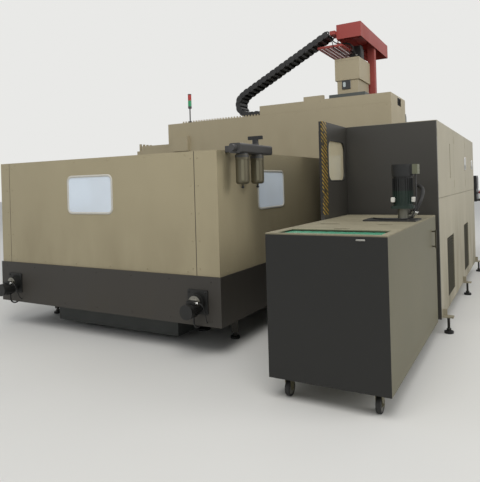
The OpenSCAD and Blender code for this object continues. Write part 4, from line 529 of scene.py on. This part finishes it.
# The beam's cover, the head's cover and the hydraulic cabinet: the same folded sheet and coating as
# the guards, cleaner, because they are up out of reach.
upper_coat = powder_coat("beige powder coat, upper covers", "B0A488", "A69B80", "776C53", 1.9, 2.95,
                         0.22)
finish_nodes(upper_coat, "beam_cover", "hydraulic_cabinet", "head_cover")


# The display on the head: a dark pane of glass, 150 mm square, set in the cover, with a pale lit
# field on its left half.
def stack(name, rings, axis, at, count=5, copies=((0, 0, 0),)):
    """Rounded rectangles (width, height, corner, level) one above the other along x, y or z and
    joined. Width and height lie along (x, y) for z, (x, z) for y and (y, z) for x."""
    order = {"z": (0, 1, 2), "y": (0, 2, 1), "x": (2, 0, 1)}[axis]
    rows = [np.concatenate([rounded_frame(w, h, r, count), np.full((4 * count, 1), level)], 1)
            for w, h, r, level in rings]
    form = np.array(rows)[..., order] + np.array(at, float)
    every = form[None] + np.array(copies, float)[:, None, None]
    return surface(name, every, wrap_v=True, caps=True)


display_glass = plain_finish("dark display pane", "15181A", "1C2022", 3.0, 0.12, coat=0.5)
pane = stack("display_pane", [(0.150, 0.150, 0.008, 0.0), (0.150, 0.150, 0.008, -0.003),
                              (0.146, 0.146, 0.006, -0.005)], "y", (1.32, -0.212, 3.203))
dress(pane, display_glass, "saddle_body")
lit_field = plain_finish("pale lit field", "C9D2D0", "B2BFC0", 30.0, 0.2)
field = stack("display_field", [(0.044, 0.084, 0.018, 0.0), (0.044, 0.084, 0.018, -0.001)], "y",
              (1.288, -0.2171, 3.206))
dress(field, lit_field, "saddle_body")

# The screws of those covers, steel button heads under the same coat: 12 mm across on the head,
# 14 mm on the beam's cover and its ends, and 16 mm on the junction box.
head_rows = (3.30, 3.63)
heads = [(1.16 + dx, -0.22, z) for dx in (-0.015, 0.125, 0.235, 0.375) for z in head_rows]
screw_heads("head_cover_screws", heads, (0, -1, 0), upper_coat, 0.006, "saddle_body")
side_heads = [(1.55, y, z) for y in (-0.19, 0.0, 0.24, 0.43) for z in head_rows]
screw_heads("head_side_screws", side_heads, (1, 0, 0), upper_coat, 0.006, "saddle_body")
cover_y = -0.62
cover_heads = [(x, cover_y, z) for x in np.linspace(-2.08, 2.08, 12) for z in (1.925, 2.745)]
cover_heads += [(x, cover_y, 2.905) for x in np.linspace(-0.08, 2.08, 7)]
screw_heads("beam_cover_screws", cover_heads, (0, -1, 0), upper_coat)
for side, s in (("left", -1), ("right", 1)):
    screw_heads("beam_end_screws_" + side,
                [(s * 2.143, y, z) for y in (-0.59, -0.25, 0.1, 0.42) for z in (1.925, 2.735)],
                (s, 0, 0), upper_coat)
box_heads = [(-1.82 + dx, -0.70, 2.37 + dz) for dx in (-0.16, 0.16) for dz in (-0.12, 0.12)]
screw_heads("junction_box_screws", box_heads, (0, -1, 0), upper_coat, 0.008)

# The louvre in the vent of the beam cover's right end: seven dark slats, 16.5 mm apart, before a
# dark plate, a black sheet put there as painted shade for the dark inside of the vent.
slats = stack("beam_vent_slats", [(0.012, 0.003, 0.001, 0.0), (0.012, 0.003, 0.001, 0.268)], "y",
              (2.1305, -0.149, 2.795), 2, [(0.0, 0.0, 0.0165 * i) for i in range(7)])
dress(slats, black_enamel, "base")
# The black plate is painted shade: it stands for the dark inside of the vent.
plate = stack("beam_vent_shade_plate", [(0.40, 0.15, 0.004, 0.0), (0.40, 0.15, 0.004, -0.002)], "x",
              (2.124, 0.035, 2.845))
dress(plate, black_enamel, "base")

# The carrier arm on its post, and the perforated tray below it: folded and welded steel sheet in
# red enamel, with a thin grey film of dust on top.
red_enamel = powder_coat("red enamel, dusty", "A03A33", "913029", "8A7466", 3.9, 4.3, 0.2, 0.42)
finish_nodes(red_enamel, "carrier_arm", "arm_tray")

# The cable chain: moulded links of black nylon, snapped together on their pins. Where the links
# rub, the nylon is a little paler.
nylon = plain_finish("black nylon, rubbed", "1C1C1D", "2B2B2B", 26.0, 0.46, bump=0.1, grain=200.0)
finish_nodes(nylon, "cable_chain")

# The cables in the chain: five, side by side between the links' crossbars, 47 mm thick. Their path
# is the chain's: along the deck, 153 degrees round a bend, and up at 27 degrees to the arm.
bend_r, bend_x, bend_z = 0.2, -0.43, 3.0203
deck_z = bend_z - bend_r
slope = math.radians(27)
a = np.radians(np.linspace(0, 153, 24))
climb = np.linspace(0.06, 1.83, 14)[:, None] * [math.cos(slope), math.sin(slope)]
bend = np.stack([bend_x - bend_r * np.sin(a), bend_z - bend_r * np.cos(a)], -1)
lane = np.concatenate([[[x, deck_z] for x in (0.19, -0.02, -0.23)], bend, bend[-1] + climb])
for i, y in enumerate((-0.474, -0.422, -0.370, -0.318, -0.266)):
    tube("chain_cable_%d" % (i + 1), np.stack([lane[:, 0], np.full(len(lane), y), lane[:, 1]], -1),
         0.0235, 10, cable_sheath, "saddle_body")

# Cables from the end of the chain to the ram's motor. Two go over the tray and down to the socket
# in front, one goes under it to the socket at the left. White nylon sleeves and ties hold them.
fixed_cable("ram_motor_cable_near", [
    (1.432, 0.012, 3.735), (1.432, -0.035, 3.735), (1.430, -0.10, 3.760), (1.415, -0.16, 3.840),
    (1.36, -0.20, 3.888), (1.27, -0.245, 3.888), (1.19, -0.29, 3.905), (1.13, -0.32, 3.960),
    (1.075, -0.33, 4.0)], 0.016, "saddle_body")
fixed_cable("ram_motor_cable_far", [
    (1.452, 0.012, 3.728), (1.452, -0.040, 3.728), (1.452, -0.12, 3.755), (1.435, -0.19, 3.850),
    (1.37, -0.235, 3.893), (1.27, -0.285, 3.888), (1.19, -0.335, 3.905), (1.13, -0.365, 3.960),
    (1.075, -0.375, 4.0)], 0.016, "saddle_body")
fixed_cable("ram_brake_cable", [
    (1.305, 0.12, 3.765), (1.255, 0.11, 3.765), (1.215, 0.05, 3.775), (1.20, -0.08, 3.795),
    (1.195, -0.25, 3.797), (1.19, -0.40, 3.800), (1.185, -0.448, 3.835), (1.17, -0.45, 3.895),
    (1.13, -0.44, 3.960), (1.075, -0.43, 4.0)], 0.014, "saddle_body")
white_nylon = plain_finish("white nylon", "E2E0D8", "D2D0C6", 30.0, 0.4)
sleeve = [(0.0, -0.016), (0.011, -0.016), (0.012, -0.010), (0.012, 0.010), (0.011, 0.016),
          (0.0, 0.016)]
sleeves = turned("cable_sleeves", sleeve, (0, 1, 0), (1.432, -0.012, 3.735), 12,
                 ((0, 0, 0), (0.020, 0.0, -0.007)))
dress(sleeves, white_nylon, "saddle_body")
tie = [(0.0, -0.005), (0.0105, -0.005), (0.0105, 0.005), (0.0, 0.005)]
ties = turned("cable_ties", tie, (1, 0.35, 0), (1.27, -0.245, 3.888), 12,
              ((0, 0, 0), (0.0, -0.04, 0.0)))
dress(ties, white_nylon, "saddle_body")

# The air filter, bolted to the guard's top edge: a die-cast manifold in dark grey, and two bowls in
# olive-grey guards of steel, screwed into it.
manifold_coat = plain_finish("die-cast aluminium, dark grey paint", "3B3A3A", "474645", 14.0, 0.45,
                             bump=0.1, grain=180.0)
finish_nodes(manifold_coat, "filter_manifold")
bowl_coat = plain_finish("olive grey bowl guard", "56513F", "625C49", 9.0, 0.4, metal=0.35,
                         bump=0.06, grain=200.0, stretch=(6, 6, 1))
finish_nodes(bowl_coat, "filter_bowls")
knob_plastic = plain_finish("moulded black plastic", "17181A", "1F2022", 50.0, 0.4, bump=0.1,
                            grain=260.0)
finish_nodes(knob_plastic, "filter_knob")

# On each bowl: pale sight strips that follow its side, where the clear bowl shows through slots in
# the guard, a collar of painted metal at its top, and a plastic drain knob below.
bowl_x, bowl_ys = 1.66, (-4.54, -4.241)
both_bowls = ((0, 0, 0), (0, bowl_ys[1] - bowl_ys[0], 0))
spread = np.linspace(-0.20, 0.20, 5)
strip_z = np.array([1.60, 1.602, 1.80, 1.802])[:, None]
strip_r = np.array([0.0618, 0.0634, 0.0634, 0.0618])[:, None]
strips = [np.stack([bowl_x + strip_r * np.cos(middle + spread),
                    y + strip_r * np.sin(middle + spread), strip_z + 0 * spread], -1)
          for y in bowl_ys for middle in (-1.05, 0.75)]
sight = plain_finish("clear bowl seen through its slot", "7A755F", "69644F", 12.0, 0.2)
dress(surface("sight_strips", strips), sight, "base")
drain = [(0.0, 0.0), (0.008, 0.0), (0.008, -0.006), (0.014, -0.008), (0.014, -0.020),
         (0.006, -0.024), (0.0, -0.024)]
drains = turned("drain_knobs", drain, (0, 0, 1), (bowl_x, bowl_ys[0], 1.554), 14, both_bowls)
dress(drains, knob_plastic, "base")
collar = [(0.0625, 0.0), (0.0665, 0.002), (0.0665, 0.022), (0.0625, 0.024)]
collars = turned("bowl_collars", collar, (0, 0, 1), (bowl_x, bowl_ys[0], 1.812), 32, both_bowls)
dress(collars, manifold_coat, "base")


# The stack light: a pole in dark paint under two moulded lenses with fine ribs, green below red,
# and a dark lid. The bands of colour go by height. Within each lens the colour goes darker and
# brighter with the ribs: painted shade and highlight on the ribs.
def banded(tree, height, first, steps):
    """Colours that follow each other up a piece: each step (level, colour) takes over above its
    level."""
    tone = first
    for level, colour in steps:
        above = put(tree, "Math", {0: height, 1: level}, operation="GREATER_THAN").outputs[0]
        tone = put(tree, "MixRGB", {"Fac": above, "Color1": tone, "Color2": colour}).outputs[0]
    return tone


green_from, red_from, lid_from = 3.0795, 3.1905, 3.3002
lens_finish, tree, out = material("stack light, painted pole and moulded lenses")
where = put(tree, "TexCoord").outputs["Object"]
height = put(tree, "SeparateXYZ", {0: where}).outputs["Z"]
rib = put(tree, "TexWave", {"Vector": where, "Scale": 18.0}, wave_type="BANDS", bands_direction="Z")
# Two tones per lens by rib: painted shade and highlight on the ribs.
green = put(tree, "MixRGB", {
    "Fac": rib.outputs["Fac"], "Color1": linear("1F8A58"), "Color2": linear("2FA56C")})
red = put(tree, "MixRGB", {
    "Fac": rib.outputs["Fac"], "Color1": linear("A3201C"), "Color2": linear("C23A30")})
tone = banded(tree, height, linear("3A3937"), (
    (green_from, green.outputs["Color"]), (red_from, red.outputs["Color"]),
    (lid_from, linear("3A3937"))))
ribs = put(tree, "Bump", {"Height": rib.outputs["Fac"], "Strength": 0.3, "Distance": 0.002})
shader = put(tree, "BsdfPrincipled", {
    "Base Color": tone, "Roughness": 0.25, "Normal": ribs.outputs["Normal"]})
lead_out(tree, out, shader)
finish_nodes(lens_finish, "stack_light")

# The tool magazine: a guard of dark coated sheet, screwed together like the other guards, and in
# it a drum of turned and oiled steel with its pots.
finish_nodes(dark_coat, "magazine_guard")
drum_steel = plain_finish("turned steel, oiled", "8C8D8E", "77787A", 16.0, 0.34, metal=1.0,
                          bump=0.08, grain=120.0)
finish_nodes(drum_steel, "tool_drum")

# The end guard: dark sheet. The outer face of its near edge carries a warning band, thin gold lines
# painted over black, 40 mm from line to line and worn by passing sleeves; the edge itself is black.
line_pitch, gold_from = 0.04, 0.62
band_wide, band_bottom, band_face = 0.112, 1.25, 2.222
band_finish, tree, out = material("dark grey coat with a painted warning band")
where = put(tree, "TexCoord").outputs["Object"]
place = put(tree, "SeparateXYZ", {0: where})
rise = put(tree, "Math", {0: place.outputs["Y"], 1: 0.52, 2: place.outputs["Z"]},
           operation="MULTIPLY_ADD")
slant = put(tree, "Math", {0: place.outputs["X"], 1: 1.34, 2: rise.outputs[0]},
            operation="MULTIPLY_ADD")
turns = put(tree, "Math", {0: slant.outputs[0], 1: 1.0 / line_pitch}, operation="MULTIPLY")
part_of = put(tree, "Math", {0: turns.outputs[0]}, operation="FRACT")
gold = put(tree, "Math", {0: part_of.outputs[0], 1: gold_from}, operation="GREATER_THAN")
near = put(tree, "Math", {0: place.outputs["Y"], 1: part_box("end_guard")[0].y + band_wide},
           operation="LESS_THAN")
upper = put(tree, "Math", {0: place.outputs["Z"], 1: band_bottom}, operation="GREATER_THAN")
edge = put(tree, "Math", {0: near.outputs[0], 1: upper.outputs[0]}, operation="MULTIPLY")
outer = put(tree, "Math", {0: place.outputs["X"], 1: band_face}, operation="GREATER_THAN")
band = put(tree, "Math", {0: gold.outputs[0], 1: outer.outputs[0]}, operation="MULTIPLY")
wear = put(tree, "TexNoise", {"Vector": where, "Scale": 16.0, "Detail": 6.0})
kept = put(tree, "MapRange", {"Value": wear.outputs["Fac"], "From Min": 0.36, "From Max": 0.46})
paint = put(tree, "Math", {0: band.outputs[0], 1: kept.outputs["Result"]}, operation="MULTIPLY")
cloud = put(tree, "TexNoise", {"Vector": where, "Scale": 1.4, "Detail": 4.0})
coat = put(tree, "MixRGB", {
    "Fac": cloud.outputs["Fac"], "Color1": linear("383631"), "Color2": linear("302E29")})
lines = put(tree, "MixRGB", {
    "Fac": paint.outputs[0], "Color1": linear("1D1C19"), "Color2": linear("A3842C")})
final = put(tree, "MixRGB", {
    "Fac": edge.outputs[0], "Color1": coat.outputs["Color"], "Color2": lines.outputs["Color"]})
peel = put(tree, "TexNoise", {"Vector": where, "Scale": 240.0})
relief = put(tree, "Bump", {"Height": peel.outputs["Fac"], "Strength": 0.1, "Distance": 0.001})
shader = put(tree, "BsdfPrincipled", {
    "Base Color": final.outputs["Color"], "Roughness": 0.45, "Normal": relief.outputs["Normal"]})
lead_out(tree, out, shader)
finish_nodes(band_finish, "end_guard")

# The beads of the end guard's window: black moulded rubber, half round and 14 mm wide, which hold
# the pane on both faces.
wing_beads = [bead((x, -3.58, 1.777), (s, 0, 0), 0.518, 0.403, 0.089, 0.007, 0.004)
              for x, s in ((2.24, 1), (2.20, -1))]
black_rubber = plain_finish("black moulded rubber", "191919", "232322", 40.0, 0.6, bump=0.1,
                            grain=240.0)
dress(surface("wing_window_beads", wing_beads, wrap_u=True, wrap_v=True), black_rubber, "base")

# The electrical cabinet: pale grey powder coat on folded sheet, three doors over three panels, with
# olive filter mats behind the vents. Dirt from the floor reaches a good way up its front.
cabinet_coat = powder_coat("pale grey powder coat", "A8A18C", "9C9580", "4F4833", 0.16, 1.25, 0.85)
finish_nodes(cabinet_coat, "cabinet", "door_near", "door_middle", "door_far")
mat = plain_finish("olive filter mat behind its louvre", "3C3825", "302D1E", 60.0, 0.8, bump=0.5,
                   grain=120.0)
finish_nodes(mat, "cabinet_vents")

# The pulls of the middle and the far door: upright bars of polished steel, 14 mm wide, pressed into
# the doors' recesses and 21 mm proud. The share says how far across the door each one stands.
seam_z, door_top = 1.370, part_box("door_middle")[1].z
for name, share, high in (("middle", 0.925, 0.180), ("far", 0.715, 0.150)):
    low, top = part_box("door_" + name)
    y = low.y - 0.0005 + (top.y - low.y + 0.0045) * share - 0.008
    bar = stack("pull_" + name, [(0.014, high, 0.005, -0.010), (0.014, high, 0.005, 0.016),
                                 (0.010, high - 0.004, 0.003, 0.021)],
                "x", (top.x - 0.0035, y, (seam_z + door_top) / 2 + 0.005))
    dress(bar, chrome, "door_" + name + "_body")

# The drive modules in the cabinet, and the operator's pendant on its arm: moulded black plastic and
# black lacquer. The stop button is glossy red.
finish_nodes(knob_plastic, "drive_modules", "pendant", "pendant_arm")
red_plastic = plain_finish("red moulded plastic", "B0211C", "9A1B17", 40.0, 0.3, coat=0.3)
finish_nodes(red_plastic, "stop_button")

# The coolant tank: olive grey paint on welded sheet. The near end is near black; lids and top edges
# carry a crust of dried coolant. Masks: Y for the end, Z for the top, X for the handle at the
# right.
near_face, crust_low, crust_high = -5.3085, 1.197, 1.2045
tank_finish, tree, out = material("olive grey tank paint, near-black end, pale crust on top")
where = put(tree, "TexCoord").outputs["Object"]
place = put(tree, "SeparateXYZ", {0: where})
drift = put(tree, "TexNoise", {"Vector": where, "Scale": 1.7, "Detail": 4.0})
grey = put(tree, "MixRGB", {
    "Fac": drift.outputs["Fac"], "Color1": linear("615C43"), "Color2": linear("545038")})
end_mask = put(tree, "Math", {0: place.outputs["Y"], 1: near_face}, operation="LESS_THAN")
ended = put(tree, "MixRGB", {
    "Fac": end_mask.outputs[0], "Color1": grey.outputs["Color"], "Color2": linear("11110E")})
top_mask = put(tree, "MapRange", {
    "Value": place.outputs["Z"], "From Min": crust_low, "From Max": crust_high})
noise = put(tree, "TexNoise", {"Vector": where, "Scale": 5.5, "Detail": 7.0, "Roughness": 0.66})
crust = put(tree, "MapRange", {"Value": noise.outputs["Fac"], "From Min": 0.3, "From Max": 0.65,
                               "To Min": 0.15, "To Max": 0.85})
crusted = put(tree, "MixRGB", {
    "Fac": crust.outputs["Result"], "Color1": linear("78735E"), "Color2": linear("8F8770")})
grip_mask = put(tree, "Math", {0: place.outputs["X"], 1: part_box("tank_lids")[1].x + 0.002},
                operation="GREATER_THAN")
gripped = put(tree, "MixRGB", {
    "Fac": grip_mask.outputs[0], "Color1": ended.outputs["Color"], "Color2": linear("35311F")})
topped = put(tree, "MixRGB", {
    "Fac": top_mask.outputs["Result"], "Color1": gripped.outputs["Color"],
    "Color2": crusted.outputs["Color"]})
matt = put(tree, "MapRange", {"Value": top_mask.outputs["Result"], "To Min": 0.46, "To Max": 0.8})
relief = put(tree, "Bump", {"Height": noise.outputs["Fac"], "Strength": 0.15, "Distance": 0.003})
shader = put(tree, "BsdfPrincipled", {
    "Base Color": topped.outputs["Color"], "Roughness": matt.outputs["Result"],
    "Normal": relief.outputs["Normal"]})
lead_out(tree, out, shader)
finish_nodes(tank_finish, "coolant_tank", "tank_lids")

# The casters: pressed forks of zinc-plated steel, and wheels with black rubber tyres on grey nylon
# hubs. The mask is the distance from the axle, so each wheel has its own place for it.
zinc = plain_finish("zinc plated steel", "B9BAB6", "9C9B94", 60.0, 0.36, metal=1.0)
finish_nodes(zinc, "swivel_left", "swivel_right")
axle_z, hub_radius = 0.06, 0.0445
for name, axle_y in (("front_left", -5.19), ("front_right", -5.19),
                     ("rear_left", -3.475), ("rear_right", -3.475)):
    made, tree, out = material("tyre and hub of the " + name.replace("_", " ") + " wheel")
    where = put(tree, "TexCoord").outputs["Object"]
    place = put(tree, "SeparateXYZ", {0: where})
    dy = put(tree, "Math", {0: place.outputs["Y"], 1: axle_y}, operation="SUBTRACT").outputs[0]
    dz = put(tree, "Math", {0: place.outputs["Z"], 1: axle_z}, operation="SUBTRACT").outputs[0]
    dy2 = put(tree, "Math", {0: dy, 1: dy}, operation="MULTIPLY").outputs[0]
    far2 = put(tree, "Math", {0: dz, 1: dz, 2: dy2}, operation="MULTIPLY_ADD").outputs[0]
    tyre = put(tree, "Math", {0: far2, 1: hub_radius ** 2}, operation="GREATER_THAN").outputs[0]
    tone = put(tree, "MixRGB", {
        "Fac": tyre, "Color1": linear("6E6C66"), "Color2": linear("1C1C1B")})
    grit = put(tree, "TexNoise", {"Vector": where, "Scale": 90.0, "Detail": 3.0})
    relief = put(tree, "Bump", {"Height": grit.outputs["Fac"], "Strength": 0.25, "Distance": 0.001})
    shader = put(tree, "BsdfPrincipled", {
        "Base Color": tone.outputs["Color"], "Roughness": 0.62, "Normal": relief.outputs["Normal"]})
    lead_out(tree, out, shader)
    finish_nodes(made, "wheel_" + name)

# The coolant that stands in the sump's opening: a milky green emulsion with a slow ripple, waves of
# 90 and 55 mm that cross, 0.8 and 0.4 mm high.
x = np.linspace(2.266, 3.134, 60)[:, None]
y = np.linspace(-5.304, -4.962, 26)[None, :]
long_wave = 0.0008 * np.sin(2 * np.pi * (x / 0.09 + 0.4 * y / 0.09))
short_wave = 0.0004 * np.sin(2 * np.pi * (y / 0.055 - 0.3 * x / 0.055))
level = 1.194 + (long_wave + short_wave)
coolant = surface("coolant_surface", np.stack([x + 0 * y, y + 0 * x, level], -1))
emulsion = plain_finish("green coolant emulsion", "56A887", "429273", 6.0, 0.25)
dress(coolant, emulsion, "base")
facing_up(coolant)

# The latch on the tank's near end: a small bar of satin steel with eased edges, fixed flat to the
# sheet under the sump's opening.
satin = plain_finish("satin steel", "A9A8A2", "93928B", 20.0, 0.4, metal=0.8)
latch = stack("tank_latch", [(0.060, 0.008, 0.003, 0.001), (0.064, 0.011, 0.005, -0.002),
                             (0.064, 0.011, 0.005, -0.007), (0.058, 0.007, 0.003, -0.009)],
              "y", (2.963, -5.310, 1.176))
dress(latch, satin, "base")

# The coolant pump: a green cast housing under a black motor, on a bright neck. Bands go by height;
# the olive grey box beside the cowl, picked by its place, holds the terminals.
neck_from, housing_from, motor_from = 1.2225, 1.3185, 1.473
box_x, box_z = 3.0815, 1.55
pump_finish, tree, out = material("pump: steel neck, green housing, black motor, grey box")
where = put(tree, "TexCoord").outputs["Object"]
place = put(tree, "SeparateXYZ", {0: where})
height = place.outputs["Z"]
tone = banded(tree, height, linear("2A2A29"), (
    (neck_from, linear("7E7D74")), (housing_from, linear("142820")),
    (motor_from, linear("101111"))))
aside = put(tree, "Math", {0: place.outputs["X"], 1: box_x}, operation="GREATER_THAN").outputs[0]
high = put(tree, "Math", {0: height, 1: box_z}, operation="GREATER_THAN").outputs[0]
box_mask = put(tree, "Math", {0: aside, 1: high}, operation="MULTIPLY").outputs[0]
boxed = put(tree, "MixRGB", {"Fac": box_mask, "Color1": tone, "Color2": linear("636550")})
over = put(tree, "Math", {0: height, 1: neck_from}, operation="GREATER_THAN").outputs[0]
under = put(tree, "Math", {0: height, 1: housing_from}, operation="LESS_THAN").outputs[0]
bright = put(tree, "Math", {0: over, 1: under}, operation="MULTIPLY").outputs[0]
grime = put(tree, "TexNoise", {"Vector": where, "Scale": 26.0, "Detail": 5.0})
sheen = put(tree, "MapRange", {"Value": grime.outputs["Fac"], "To Min": 0.4, "To Max": 0.7})
relief = put(tree, "Bump", {"Height": grime.outputs["Fac"], "Strength": 0.12, "Distance": 0.002})
shader = put(tree, "BsdfPrincipled", {
    "Base Color": boxed.outputs["Color"], "Roughness": sheen.outputs["Result"],
    "Metallic": bright, "Normal": relief.outputs["Normal"]})
lead_out(tree, out, shader)
finish_nodes(pump_finish, "coolant_pump")

# On the pump: white nylon plugs in the two blind ports of its housing, and a six-sided nut that
# clamps the hose to the elbow. Its cable leaves the terminal box and lies along the lids.
for side, x, back in (("left", 2.919, -4.115), ("right", 3.080, -4.066)):
    plug = stack("pump_plug_" + side, [(0.036, 0.044, 0.010, 0.0), (0.036, 0.044, 0.010, -0.030),
                                       (0.030, 0.038, 0.008, -0.035)], "y", (x, back, 1.395))
    dress(plug, white_nylon, "base")
nut = [(0.0, -0.011), (0.033, -0.011), (0.035, -0.008), (0.035, 0.008), (0.033, 0.011),
       (0.0, 0.011)]
nuts = turned("outlet_nut", nut, (0.529919, 0, 0.848048), (3.0784, -4.07, 1.2813), 6)
dress(nuts, chrome, "base")
fixed_cable("pump_cable", [
    (3.105, -4.095, 1.615), (3.106, -4.105, 1.56), (3.110, -4.120, 1.46), (3.108, -4.135, 1.36),
    (3.090, -4.145, 1.28), (3.050, -4.150, 1.238), (2.98, -4.152, 1.229), (2.90, -4.150, 1.2287),
    (2.80, -4.120, 1.2287), (2.72, -4.040, 1.2287)], 0.013)
